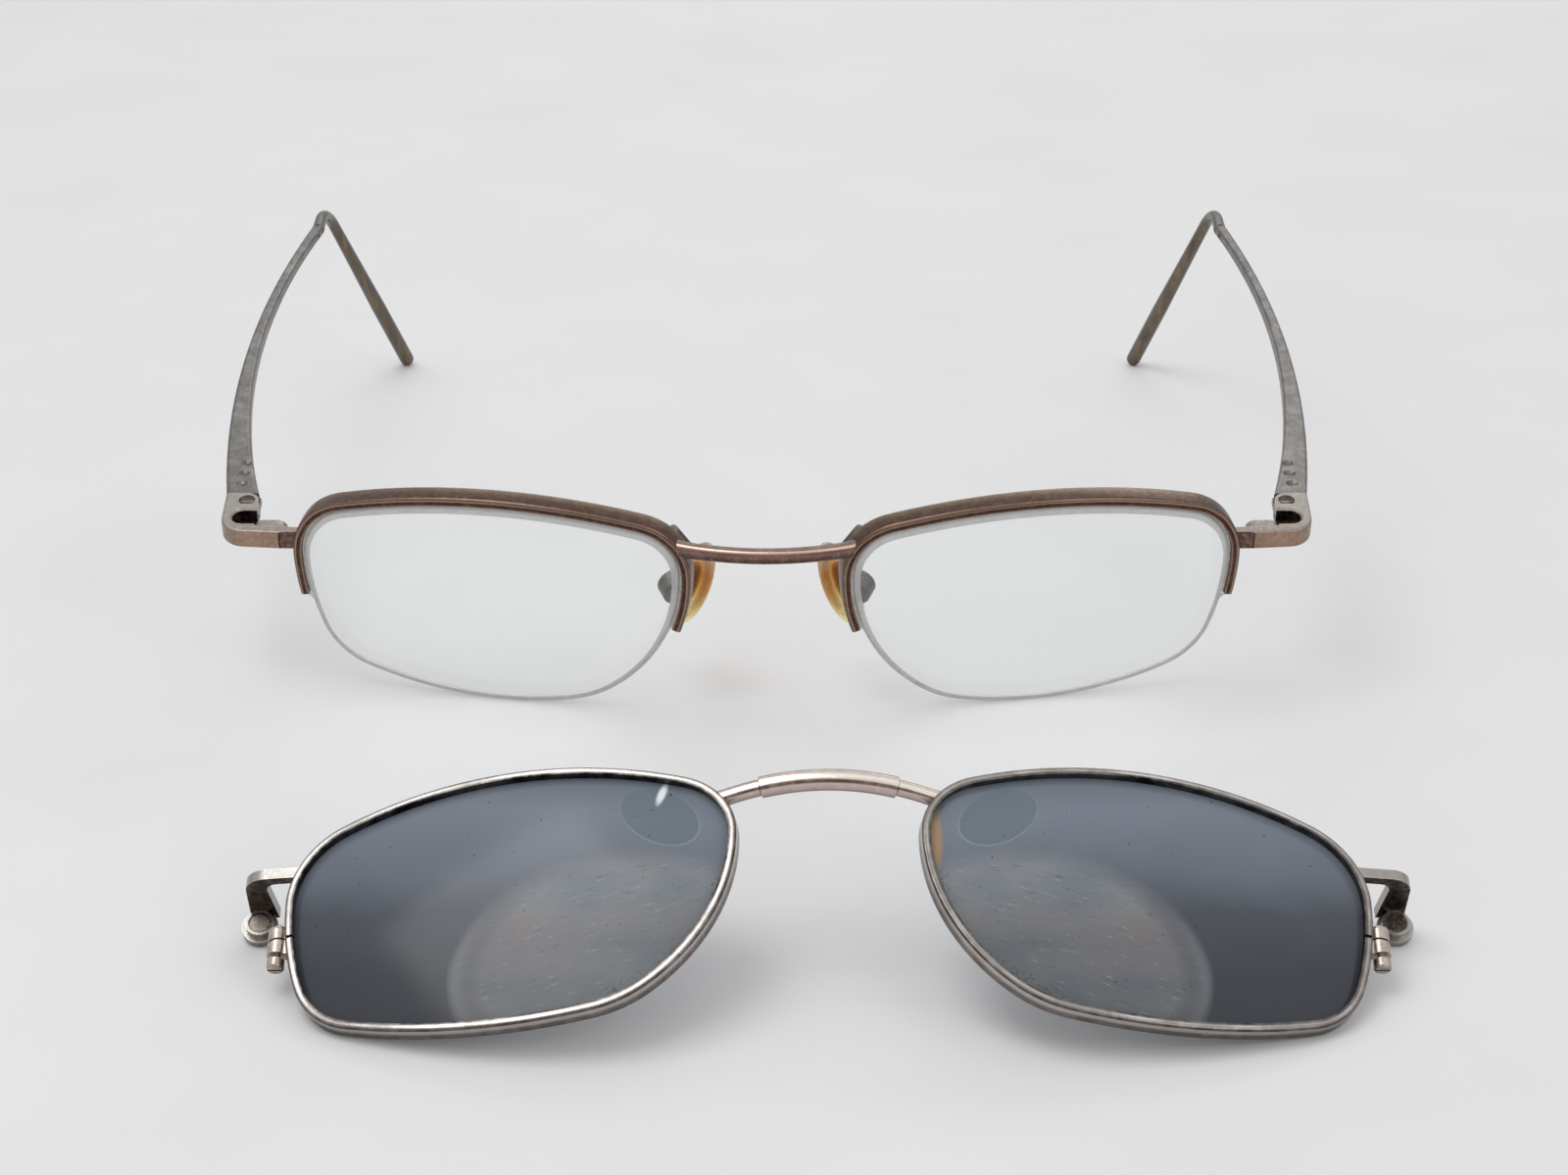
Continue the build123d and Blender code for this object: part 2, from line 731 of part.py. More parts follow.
def make_clip_bridge():
    span = Circle(clip_bridge_radius)
    ends = (clip_bridge_end_x, clip_bridge_end_y, clip_bridge_end_z, clip_bridge_mid_y, clip_bridge_mid_z)
    wire = bowed_bar(span, *ends)
    thick = bowed_bar(Circle(clip_sleeve_radius), *ends)
    sleeve_half = clip_bridge_end_x * clip_sleeve_share
    thick &= block((-sleeve_half, sleeve_half), (-far, far), (-far, far))
    return wire + thick - both_clip_spaces


# Clip arm with its magnet cup
arm_z = bar_top + arm_clearance + dock_drop + arm_thickness / 2
cup_z = bar_z + dock_drop
cup_front = holder_back + dock_forward + magnet_gap
cup_back = cup_front + cup_collar_depth + cup_flange_depth
arm_inner_x = lens_outside_x - arm_root
arm_outer_x = magnet_x + arm_leg_width / 2
arm_leg_inner_x = magnet_x - arm_leg_width / 2
arm_slope = arm_sweep / (arm_outer_x - arm_inner_x)


def arm_front(x):
    return arm_front_y + arm_slope * (x - arm_inner_x)


def make_clip_arm():
    outline = [
        (arm_inner_x, arm_front(arm_inner_x)),
        (arm_outer_x, arm_front(arm_outer_x)),
        (arm_outer_x, cup_back - cup_floor),
        (magnet_x - cup_flange_radius, cup_back - cup_floor),
        (arm_leg_inner_x, arm_front(arm_leg_inner_x) + arm_bar_depth),
        (arm_inner_x, arm_front(arm_inner_x) + arm_bar_depth),
    ]
    plan = make_face(Polyline(*outline, close=True))
    plan = fillet(plan.vertices().sort_by(lambda vertex: vertex.X - vertex.Y)[-1], arm_bend_outer)
    inner = [v for v in plan.vertices() if abs(v.X - arm_leg_inner_x) < 0.01 and v.Y < cup_front - 1]
    plan = fillet(inner, arm_bend_inner)
    strip = Pos(0, 0, arm_z - arm_thickness / 2) * extrude(plan, amount=arm_thickness)
    collar = lying(magnet_x, cup_z, cup_front, cup_front + cup_collar_depth, cup_collar_radius)
    flange = lying(magnet_x, cup_z, cup_front + cup_collar_depth, cup_back, cup_flange_radius)
    pocket = lying(magnet_x, cup_z, cup_front - 1, cup_back - cup_floor, clip_magnet_radius)
    return strip + collar + flange - pocket - clip_rim_space


def make_clip_magnet():
    return lying(magnet_x, cup_z, cup_front + magnet_sink / 2, cup_back - cup_floor, clip_magnet_radius)


# Rim lock: two blocks on the ends of the split rim, drawn together by a screw from below
def lock_barrel():
    barrel = upright(lock_x, lock_y, lock_bottom_z, lock_top_z, lock_radius)
    barrel = fillet(barrel.edges().sort_by(Axis.Z)[-1], lock_round)
    barrel += block((lock_x - 2 * lock_radius, lock_x), (lock_y - lock_block_depth / 2, lock_y + lock_block_depth / 2),
                    (lock_bottom_z, lock_top_z - lock_round))
    return barrel - clip_rim_space - upright(lock_x, lock_y, -far, lock_top_z - lock_cap, lock_screw_radius)


def make_lock_upper():
    return lock_barrel() - lock_cut(lock_gap) - (Pos(lock_x, lock_y, lock_split_z) * Rot(0, lock_tilt, 0)
                                                * Pos(0, 0, -far / 2) * Box(far, far, far))


def make_lock_lower():
    return lock_barrel() - lock_cut(lock_gap) - (Pos(lock_x, lock_y, lock_split_z) * Rot(0, lock_tilt, 0)
                                                * Pos(0, 0, far / 2) * Box(far, far, far))


def make_lock_screw():
    neck_low = lock_bottom_z - lock_neck
    head_low = neck_low - lock_head_height
    shank = upright(lock_x, lock_y, neck_low, lock_top_z - lock_cap - lock_gap, lock_screw_radius)
    head = upright(lock_x, lock_y, head_low, neck_low, lock_head_radius)
    head = fillet(head.edges().sort_by(Axis.Z)[0], lock_head_round)
    slot = block(
        (lock_x - far, lock_x + far),
        (lock_y - lock_slot / 2, lock_y + lock_slot / 2),
        (head_low - 1, head_low + lock_head_height / 3),
    )
    return shank + head - slot


# Build one side of everything
endpiece = make_endpiece()
glasses_side = {
    "upper_rim": make_upper_rim(),
    "rim_liner": make_liner(),
    "lens": make_lens(),
    "lens_cord": make_cord(),
    "endpiece": endpiece,
    "magnet_holder": make_holder(),
    "frame_magnet": make_frame_magnet(),
    "hinge_screw": make_hinge_screw(),
    "pad_arm": make_pad_arm(),
    "pad_box": make_pad_box(),
    "pad_screw": make_pad_screw(),
    "nose_pad": make_nose_pad(),
    "pad_insert": make_pad_insert(),
    "temple": make_temple(),
    "ear_tip": make_ear_tip(),
}
clip_side = {
    "clip_rim": make_clip_rim(),
    "clip_lens": make_clip_lens(),
    "clip_arm": make_clip_arm(),
    "clip_magnet": make_clip_magnet(),
    "clip_lock_upper": make_lock_upper(),
    "clip_lock_lower": make_lock_lower(),
    "clip_lock_screw": make_lock_screw(),
}


# Stand the glasses on the table and lay the clip on it
def lowest(shapes, angle):
    return min((Rot(angle, 0, 0) * shape).bounding_box().min.Z for shape in shapes)


def resting_angle(front_shapes, back_shapes, low, high):
    # Halve the range until the front and the back reach equally low; a larger angle about X
    # lifts the back
    for _ in range(14):
        middle = (low + high) / 2
        if lowest(back_shapes, middle) < lowest(front_shapes, middle):
            low = middle
        else:
            high = middle
    return (low + high) / 2


lens_feet = [glasses_side["lens"], glasses_side["lens_cord"]]
tip_feet = [glasses_side["ear_tip"]]
rim_feet = [clip_side["clip_rim"]]
arm_feet = [clip_side["clip_arm"]]
glasses_tip = resting_angle(lens_feet, tip_feet, *glasses_tip_range)
clip_tip = resting_angle(rim_feet, arm_feet, *clip_tip_range)
glasses_floor = lowest(lens_feet + tip_feet, glasses_tip)
clip_floor = lowest(rim_feet + arm_feet, clip_tip)
glasses_edge = (Rot(glasses_tip, 0, 0) * glasses_side["lens"]).bounding_box().min.Y
clip_edge = (Rot(clip_tip, 0, 0) * clip_side["clip_rim"]).bounding_box().min.Y

glasses_at = Pos(0, -glasses_edge, -glasses_floor) * Rot(glasses_tip, 0, 0)
clip_at = Pos(clip_aside, -clip_edge - clip_ahead, -clip_floor) * Rot(clip_tip, 0, 0)

parts = {}
for name, shape in glasses_side.items():
    parts["left_" + name] = glasses_at * shape
    parts["right_" + name] = glasses_at * mirror(shape, Plane.YZ)
parts["bridge"] = glasses_at * make_bridge()
for name, shape in clip_side.items():
    parts["left_" + name] = clip_at * shape
    parts["right_" + name] = clip_at * mirror(shape, Plane.YZ)
parts["clip_bridge"] = clip_at * make_clip_bridge()

boxes = [shape.bounding_box() for shape in parts.values()]
middle_x = (min(box.min.X for box in boxes) + max(box.max.X for box in boxes)) / 2
middle_y = (min(box.min.Y for box in boxes) + max(box.max.Y for box in boxes)) / 2
table_z = min(box.min.Z for box in boxes)
to_origin = Pos(-middle_x, -middle_y, -table_z)

os.makedirs("parts", exist_ok=True)
for name, shape in parts.items():
    export_step(to_origin * shape, "parts/" + name + ".step")


# Joint axes and faces, printed for the record
def told(label, location, direction):
    tip = location * Pos(*direction)
    axis = tip.position - location.position
    place = location.position
    print(label, [round(v, 4) for v in place], [round(v, 6) for v in axis])


glasses_frame = to_origin * glasses_at
clip_frame = to_origin * clip_at
for side, sign in (("left", 1), ("right", -1)):
    told(side + " hinge", glasses_frame * Pos(sign * hinge_x, hinge_y, bar_z), (0, 0, 1))
    pin = (pad_frame * Pos(0, 0, pin_depth)).position
    axis = (pad_frame * Pos(1, 0, pin_depth)).position - pin
    told(side + " pad", glasses_frame * Pos(sign * pin.X, pin.Y, pin.Z), (sign * axis.X, axis.Y, axis.Z))
    told(side + " frame magnet", glasses_frame * Pos(sign * magnet_x, holder_back - magnet_sink, bar_z), (0, 1, 0))
    told(side + " clip magnet", clip_frame * Pos(sign * magnet_x, cup_front + magnet_sink / 2, cup_z), (0, -1, 0))
print("glasses tip", round(glasses_tip, 3), "clip tip", round(clip_tip, 3))
low_x = min(box.min.X for box in boxes)
low_y = min(box.min.Y for box in boxes)
print("size", round(-2 * (low_x - middle_x), 2), round(-2 * (low_y - middle_y), 2))
print("height", round(max(box.max.Z for box in boxes) - table_z, 2))
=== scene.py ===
import json
from itertools import takewhile
from math import atan2, cos, pi, radians, sin, sqrt, tan

import bmesh
import bpy
from mathutils import Matrix, Vector


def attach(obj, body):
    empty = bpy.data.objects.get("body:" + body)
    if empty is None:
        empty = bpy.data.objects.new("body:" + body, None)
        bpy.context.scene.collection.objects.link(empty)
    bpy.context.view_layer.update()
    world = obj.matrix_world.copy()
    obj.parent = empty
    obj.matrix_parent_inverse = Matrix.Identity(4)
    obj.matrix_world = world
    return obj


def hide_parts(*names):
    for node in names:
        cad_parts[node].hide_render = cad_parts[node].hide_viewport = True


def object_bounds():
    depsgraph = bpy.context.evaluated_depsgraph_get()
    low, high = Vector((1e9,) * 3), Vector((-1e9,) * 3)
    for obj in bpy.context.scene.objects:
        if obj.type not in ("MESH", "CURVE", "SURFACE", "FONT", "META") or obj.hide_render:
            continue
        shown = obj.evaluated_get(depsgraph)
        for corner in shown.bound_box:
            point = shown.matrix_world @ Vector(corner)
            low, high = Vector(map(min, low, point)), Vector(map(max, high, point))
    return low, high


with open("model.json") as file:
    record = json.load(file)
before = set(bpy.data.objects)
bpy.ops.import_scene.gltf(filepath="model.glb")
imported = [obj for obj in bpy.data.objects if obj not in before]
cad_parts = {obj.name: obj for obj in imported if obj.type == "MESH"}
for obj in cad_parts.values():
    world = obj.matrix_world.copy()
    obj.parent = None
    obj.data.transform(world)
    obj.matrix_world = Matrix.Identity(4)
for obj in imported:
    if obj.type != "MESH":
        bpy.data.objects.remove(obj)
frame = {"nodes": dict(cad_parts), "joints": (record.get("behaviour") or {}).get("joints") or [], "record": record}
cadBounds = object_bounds()
nodes = frame["nodes"]
print("frame loaded:", len(nodes), "nodes")

# Shapes are worked out in millimetres in the front's own frame, as the CAD is: X across, Y back, Z up
mm = 0.001
sides = (("left", 1), ("right", -1))

glasses = dict(hinge=(64.55, 14.8974, 3.85), lensPitch=68.4, lensDrop=0.65, faceForm=11.0)
lensShape = dict(
    curve=110.0, width=47.2, height=29.4, temporalRise=3.4, nasalRise=5.9, topShift=-3.1, bottomShift=1.1,
    radii=(33.5, 61.0, 21.5, 57.0), corners=(8.3, 6.6, 13.2, 8.0),
)
halfW, halfH = lensShape["width"] / 2, lensShape["height"] / 2
clip = dict(magnet=(61.7, 13.7253, 5.05))


# Places of the two fronts and of their lenses
def frontMatrix(anchorWorld, anchorLocal, tilt):
    turn = Matrix.Rotation(tilt, 4, "X")
    shift = Vector(anchorWorld) - turn @ (Vector(anchorLocal) * mm)
    return Matrix.Translation(shift) @ turn @ Matrix.Scale(mm, 4)


def glassesMatrix():
    fold = next(j for j in frame["joints"] if j["name"] == "left_temple_fold")
    up = Vector(fold["axis"])
    return frontMatrix(fold["pos_m"], glasses["hinge"], atan2(-up.y, up.z))


def clipMatrix():
    face = next(m for m in frame["record"]["mounts"] if m["name"] == "left_clip_magnet_face")
    ahead = Vector(face["axis"])
    return frontMatrix(face["pos_m"], clip["magnet"], atan2(-ahead.z, -ahead.y))


def lensMatrix(middleZ):
    # From a lens's own axes, u across, v up and w forward, to the front's
    turn = radians(glasses["faceForm"])
    across = Vector((cos(turn), sin(turn), 0))
    ahead = Vector((sin(turn), -cos(turn), 0))
    up = Vector((0, 0, 1))
    rows = Matrix((across, up, ahead)).transposed().to_4x4()
    return Matrix.Translation((glasses["lensPitch"] / 2, 0, middleZ)) @ rows


glassesToWorld = glassesMatrix()
clipToWorld = clipMatrix()
glassesLens = lensMatrix(-glasses["lensDrop"])
clipLens = lensMatrix(0)
mirrorX = Matrix.Scale(-1, 4, (1, 0, 0))


# Outline of a lens: four side arcs and four corner arcs
def sideCentres():
    temporal, top, nasal, bottom = lensShape["radii"]
    return (
        Vector((halfW - temporal, lensShape["temporalRise"])),
        Vector((lensShape["topShift"], halfH - top)),
        Vector((nasal - halfW, lensShape["nasalRise"])),
        Vector((lensShape["bottomShift"], bottom - halfH)),
    )


def cornerCentre(index):
    outward = (Vector((1, 1)), Vector((-1, 1)), Vector((-1, -1)), Vector((1, -1)))[index]
    radius = lensShape["corners"][index]
    after = (index + 1) % 4
    a, b = sideCentres()[index], sideCentres()[after]
    reachA, reachB = (lensShape["radii"][i] - radius for i in (index, after))
    apart = (b - a).length
    along = (reachA ** 2 - reachB ** 2 + apart ** 2) / (2 * apart)
    across = sqrt(reachA ** 2 - along ** 2)
    step = (b - a).normalized()
    turned = Vector((-step.y, step.x))
    return max((a + step * along + turned * s for s in (across, -across)), key=lambda p: p.dot(outward))


def outlineArcs():
    # (centre, radius, first angle, last angle), going round from the lower temporal corner
    arcs = []
    for index in range(4):
        centre = sideCentres()[index]
        before = cornerCentre(index - 1) - centre
        after = cornerCentre(index) - centre
        following = cornerCentre(index) - sideCentres()[(index + 1) % 4]
        first = atan2(before.y, before.x)
        middle = atan2(after.y, after.x)
        last = atan2(following.y, following.x)
        arcs.append((centre, lensShape["radii"][index], first, first + (middle - first) % (2 * pi)))
        arcs.append((cornerCentre(index), lensShape["corners"][index], middle,
                     middle + (last - middle) % (2 * pi)))
    return arcs


lensArcs = outlineArcs()


def outlinePoints(grow, step=0.5):
    # Points round the outline with its offset, closed, counter-clockwise
    points = []
    for centre, radius, first, last in lensArcs:
        count = max(3, round(radius * (last - first) / step))
        for k in range(count):
            angle = first + (last - first) * k / count
            points.append(centre + Vector((cos(angle), sin(angle))) * (radius + grow))
    return points


def onCurve(point, depth):
    # Puts an outline point on the lens's ball, this far behind the front surface
    radius = lensShape["curve"] - depth
    return Vector((point.x, point.y, sqrt(radius ** 2 - point.x ** 2 - point.y ** 2) - lensShape["curve"]))


def openStretch(points, keep):
    # The one run of a closed outline that keep() accepts, in order
    start = next(i for i, p in enumerate(points) if keep(p) and not keep(points[i - 1]))
    return list(takewhile(keep, points[start:] + points[:start]))


def smoothLine(points, step=0.15):
    # A smooth curve through the points
    ends = [points[0] * 2 - points[1]] + list(points) + [points[-1] * 2 - points[-2]]
    line = []
    for a, b, c, d in zip(ends, ends[1:], ends[2:], ends[3:]):
        count = max(2, round((c - b).length / step))
        for k in range(count):
            t = k / count
            line.append((b * 2 + (c - a) * t + (a * 2 - b * 5 + c * 4 - d) * t ** 2
                         + (b * 3 - a - c * 3 + d) * t ** 3) / 2)
    return line + [points[-1]]


# Building blocks of the materials
def newNode(tree, kind):
    return tree.nodes.new("ShaderNode" + kind)


def newMaterial(name):
    mat = bpy.data.materials.new(name)
    mat.use_nodes = True
    tree = mat.node_tree
    tree.nodes.clear()
    out = newNode(tree, "OutputMaterial")
    shader = newNode(tree, "BsdfPrincipled")
    feed(tree, shader.outputs[0], out.inputs[0])
    coords = newNode(tree, "TexCoord")
    return mat, tree, shader, scaled(tree, coords.outputs["Object"], (1 / mm, 1 / mm, 1 / mm))


def scaled(tree, coords, scale, turn=(0, 0, 0), shift=(0, 0, 0)):
    mapping = newNode(tree, "Mapping")
    setInputs(tree, mapping, {"Vector": coords, "Scale": scale, "Rotation": turn, "Location": shift})
    return mapping.outputs[0]


def feed(tree, value, socket):
    if isinstance(value, bpy.types.NodeSocket):
        tree.links.new(value, socket)
    elif hasattr(value, "__len__") and socket.type == "RGBA":
        socket.default_value = (*value, 1)
    else:
        socket.default_value = value


def setInputs(tree, node, values):
    for label, value in values.items():
        feed(tree, value, node.inputs[label])


def maths(tree, kind, a, b=0.0):
    node = newNode(tree, "Math")
    node.operation = kind
    feed(tree, a, node.inputs[0])
    feed(tree, b, node.inputs[1])
    return node.outputs[0]


def times(tree, first, *others):
    for other in others:
        first = maths(tree, "MULTIPLY", first, other)
    return first


def vectorMaths(tree, kind, a, b=None):
    node = newNode(tree, "VectorMath")
    node.operation = kind
    feed(tree, a, node.inputs[0])
    if b is not None:
        feed(tree, b, node.inputs[1])
    return node.outputs["Value"]


def swing(tree, value, amount):
    # Turns a value from 0 to 1 into one that swings this much in all about 0
    return times(tree, maths(tree, "SUBTRACT", value, 0.5), amount)


def split(tree, vector):
    parts = newNode(tree, "SeparateXYZ")
    feed(tree, vector, parts.inputs[0])
    return parts.outputs[0], parts.outputs[1], parts.outputs[2]


def noise(tree, coords, scale, detail=3.0, rough=0.6, distort=0.0):
    node = newNode(tree, "TexNoise")
    setInputs(tree, node, {
        "Vector": coords, "Scale": scale, "Detail": detail, "Roughness": rough, "Distortion": distort,
    })
    return node.outputs["Fac"]


def ramp(tree, value, stops):
    node = newNode(tree, "ValToRGB")
    feed(tree, value, node.inputs[0])
    elements = node.color_ramp.elements
    while len(elements) < len(stops):
        elements.new(0.5)
    for element, (place, colour) in zip(elements, stops):
        element.position = place
        element.color = (*colour, 1) if hasattr(colour, "__len__") else (colour, colour, colour, 1)
    return node.outputs[0]


def rise(tree, value, low, high):
    # 0 up to low and 1 from high on
    return ramp(tree, value, ((low, 0.0), (high, 1.0)))


def fall(tree, value, low, high):
    return ramp(tree, value, ((low, 1.0), (high, 0.0)))


def between(tree, value, low, high, soft):
    # 1 where the value lies between the two, with soft ends
    span = high - low + 4 * soft
    moved = maths(tree, "DIVIDE", maths(tree, "SUBTRACT", value, low - 2 * soft), span)
    return ramp(tree, moved, (
        (soft / span, 0.0), (3 * soft / span, 1.0), (1 - 3 * soft / span, 1.0), (1 - soft / span, 0.0),
    ))


def mixed(tree, factor, a, b, way="MIX"):
    node = newNode(tree, "Mix")
    node.data_type = "RGBA"
    node.blend_type = way
    for index, value in ((0, factor), (6, a), (7, b)):
        feed(tree, value, node.inputs[index])
    return node.outputs[2]


def bumped(tree, shader, height, distance):
    node = newNode(tree, "Bump")
    setInputs(tree, node, {"Distance": distance, "Height": height})
    feed(tree, node.outputs[0], shader.inputs["Normal"])


def attribute(tree, name, output="Fac"):
    node = newNode(tree, "Attribute")
    node.attribute_type = "GEOMETRY"
    node.attribute_name = name
    return node.outputs[output]


def inFront(tree, coords, frontToWorld):
    # From millimetres in the world at rest to the front's own frame
    back = frontToWorld.inverted()
    return scaled(tree, coords, (1, 1, 1), back.to_euler(), back.translation)


def facing(tree, frontToWorld, direction):
    # How squarely the surface faces a direction of the front's own frame, 1 to -1
    normal = newNode(tree, "TexCoord").outputs["Normal"]
    return vectorMaths(tree, "DOT_PRODUCT", normal, (frontToWorld.to_3x3() @ Vector(direction)).normalized())


wearLook = dict(radius=0.16, samples=6, bend=(0.02, 0.16), scratchDepth=0.000014)


def edgeWear(tree):
    # 1 along sharp and tightly rounded edges
    bevel = newNode(tree, "Bevel")
    bevel.samples = wearLook["samples"]
    bevel.inputs["Radius"].default_value = wearLook["radius"] * mm
    normal = newNode(tree, "NewGeometry").outputs["Normal"]
    bent = maths(tree, "SUBTRACT", 1.0, vectorMaths(tree, "DOT_PRODUCT", bevel.outputs[0], normal))
    return rise(tree, bent, *wearLook["bend"])


def wornMetal(name, worn, dark, rough=0.27, base=None, paint=None, patch=0.5, grain=1.1, edge=0.8,
              brushed=(1.5, 1.5, 1.5), speck=0.5):
    # Plated or lacquered metal with soft patches, brighter edges, dark specks and fine scratches.
    # The colour before the wear is base, or what paint(tree, coords) gives
    mat, tree, shader, coords = newMaterial(name)
    colour = paint(tree, coords) if paint else base
    patches = rise(tree, noise(tree, coords, grain, 4, 0.6, 0.4), 0.42, 0.72)
    colour = mixed(tree, times(tree, patches, patch), colour, worn)
    grime = fall(tree, noise(tree, coords, grain * 5), 0.3, 0.42)
    colour = mixed(tree, times(tree, grime, speck), colour, dark)
    if edge:
        rubbed = ramp(tree, noise(tree, coords, grain * 2), ((0.3, 0.35), (0.6, 1.0)))
        colour = mixed(tree, times(tree, edgeWear(tree), rubbed, edge), colour, worn)
    lines = noise(tree, scaled(tree, coords, brushed), 2.4, 5, 0.7)
    roughness = ramp(tree, lines, ((0.3, rough * 0.75), (0.7, min(1.0, rough * 1.4))))
    setInputs(tree, shader, {"Base Color": colour, "Roughness": roughness, "Metallic": 1.0})
    bumped(tree, shader, lines, wearLook["scratchDepth"])
    return mat


def mixedShader(tree, factor, first, second, out):
    mix = newNode(tree, "MixShader")
    for index, socket in enumerate((factor, first, second)):
        feed(tree, socket, mix.inputs[index])
    feed(tree, mix.outputs[0], out.inputs[0])


def lampsThrough(tree, shader, tint):
    # Glass that lets light reach what lies behind it, so its shadow is only a tint
    out = next(n for n in tree.nodes if n.type == "OUTPUT_MATERIAL")
    path = newNode(tree, "LightPath")
    clear = newNode(tree, "BsdfTransparent")
    feed(tree, tint, clear.inputs[0])
    mixedShader(tree, path.outputs["Is Shadow Ray"], shader.outputs[0], clear.outputs[0], out)


# Metals
def profileShare(tree, name):
    # A point's place in its wire's section, from 0 to 1
    share = maths(tree, "MULTIPLY_ADD", attribute(tree, name), 0.5)
    share.node.inputs[2].default_value = 0.5
    return share


def rimPaint(tree, coords):
    # Dark brown lacquer on the face, darkened further as a painted reflection of dark surroundings, and light
    # along its inner edge; a copper painted highlight along the outer rounding; brown on the outer side, lighter
    # at its front and back edges as painted highlights
    across = profileShare(tree, "profileX")
    wobble = swing(tree, noise(tree, coords, 0.5), 0.1)
    # Outer side: brown, with painted highlights at its front and back edges
    side = ramp(tree, profileShare(tree, "profileY"), (
        (0.0, (0.26, 0.18, 0.135)), (0.14, (0.075, 0.042, 0.032)), (0.5, (0.085, 0.055, 0.041)),
        (0.82, (0.15, 0.112, 0.082)), (1.0, (0.25, 0.2, 0.155)),
    ))
    # Face: dark lacquer deepened as painted reflection, with a copper painted highlight on the outer rounding
    face = ramp(tree, maths(tree, "ADD", across, wobble), (
        (0.08, (0.3, 0.2, 0.16)), (0.2, (0.07, 0.034, 0.025)), (0.52, (0.055, 0.027, 0.02)),
        (0.66, (0.38, 0.26, 0.2)), (0.78, (0.15, 0.1, 0.075)),
    ))
    return mixed(tree, rise(tree, across, 0.8, 0.95), face, side)


def clipRimPaint(tree, coords):
    # Black inner wall; a face with a painted highlight band down its middle, a dark line at its outer rounding as
    # painted shade and patches of painted shadow; a warm grey outer side, light near its front as a painted
    # highlight and dark over its back half as painted shade
    across = profileShare(tree, "profileX")
    down = profileShare(tree, "profileY")
    shadow = noise(tree, scaled(tree, coords, (0.12, 0.12, 0.12)), 1.0, 2, 0.5)
    face = ramp(tree, across, (
        (0.1, (0.01, 0.008, 0.007)), (0.24, (0.1, 0.088, 0.082)), (0.34, (0.36, 0.335, 0.315)),
        (0.46, (0.7, 0.68, 0.66)), (0.6, (0.46, 0.43, 0.41)), (0.8, (0.2, 0.175, 0.16)),
        (0.9, (0.06, 0.05, 0.045)),
    ))
    face = mixed(tree, ramp(tree, shadow, ((0.4, 0.0), (0.56, 0.62))), face, (0.15, 0.13, 0.12))
    # Outer side: a painted highlight near the front, then painted shade over the back half
    side = ramp(tree, down, (
        (0.12, (0.06, 0.05, 0.045)), (0.2, (0.5, 0.465, 0.44)), (0.42, (0.4, 0.36, 0.335)),
        (0.54, (0.15, 0.128, 0.115)), (0.9, (0.115, 0.098, 0.088)),
    ))
    return mixed(tree, rise(tree, across, 0.9, 0.98), face, side)


def roundSection(tree):
    # Where a point lies round the section: 0.25 is the top, 0.5 the front and 0.75 the bottom
    turn = maths(tree, "ARCTAN2", attribute(tree, "profileY"), attribute(tree, "profileX"))
    return maths(tree, "ADD", maths(tree, "DIVIDE", turn, 2 * pi), 0.5)


def bridgePaint(tree, coords):
    # Dark along the top, a painted highlight along the upper front edge, and painted shade along the lower edge
    return ramp(tree, roundSection(tree), (
        (0.19, (0.085, 0.062, 0.052)), (0.25, (0.19, 0.133, 0.108)), (0.32, (0.21, 0.145, 0.118)),
        (0.345, (0.7, 0.5, 0.42)), (0.385, (0.3, 0.19, 0.15)), (0.48, (0.2, 0.115, 0.088)),
        (0.53, (0.11, 0.062, 0.048)), (0.6, (0.04, 0.025, 0.02)),
    ))


def clipBridgePaint(tree, coords):
    # A dark line along the middle, a painted reflection, between two light bands that are painted highlights
    return ramp(tree, roundSection(tree), (
        (0.4, (0.22, 0.175, 0.15)), (0.455, (0.56, 0.48, 0.42)), (0.515, (0.86, 0.8, 0.74)),
        (0.57, (0.6, 0.5, 0.44)), (0.59, (0.1, 0.065, 0.05)), (0.622, (0.14, 0.09, 0.07)),
        (0.645, (0.58, 0.465, 0.415)), (0.75, (0.56, 0.45, 0.4)), (0.8, (0.22, 0.165, 0.145)),
    ))


endpieceLook = dict(footX=57.0, length=11.0, depth=20.0)
recess = dict(x=64.6, y=11.68, radius=1.42, reach=3.0, top=4.88, soft=0.02)


def endpiecePaint(tree, coords):
    # Copper front, plum foot, grey leg and top, and a recess darkened black as painted shade
    x, y, z = split(tree, inFront(tree, coords, glassesToWorld))
    x = maths(tree, "ABSOLUTE", x)
    pastFoot = maths(tree, "SUBTRACT", x, endpieceLook["footX"])
    along = maths(tree, "DIVIDE", pastFoot, endpieceLook["length"])
    front = ramp(tree, along, (
        (0.255, (0.115, 0.062, 0.05)), (0.285, (0.3, 0.19, 0.135)), (0.6, (0.36, 0.235, 0.165)),
        (0.95, (0.25, 0.195, 0.15)),
    ))
    up = rise(tree, facing(tree, glassesToWorld, (0, 0, 1)), 0.5, 0.75)
    colour = mixed(tree, up, front, (0.25, 0.22, 0.195))
    leg = rise(tree, maths(tree, "DIVIDE", y, endpieceLook["depth"]), 0.46, 0.53)
    colour = mixed(tree, leg, colour, (0.27, 0.26, 0.24))
    # The recess is darkened nearly black as painted shade
    soft = recess["soft"]
    inX = between(tree, x, recess["x"] - recess["reach"], recess["x"] + recess["radius"] + soft, soft)
    inY = between(tree, y, recess["y"] - recess["radius"], recess["y"] + recess["radius"], soft)
    low = between(tree, z, 0.0, recess["top"], soft)
    return mixed(tree, times(tree, inX, inY, low), colour, (0.022, 0.016, 0.014))


cupLook = dict(armRing=(1.13, 1.27), magnetRing=(1.04, 1.4), soft=0.03, shade=(0.03, 0.024, 0.02))
armLook = dict(stripLow=6.2, stripHigh=6.9, soft=0.05)


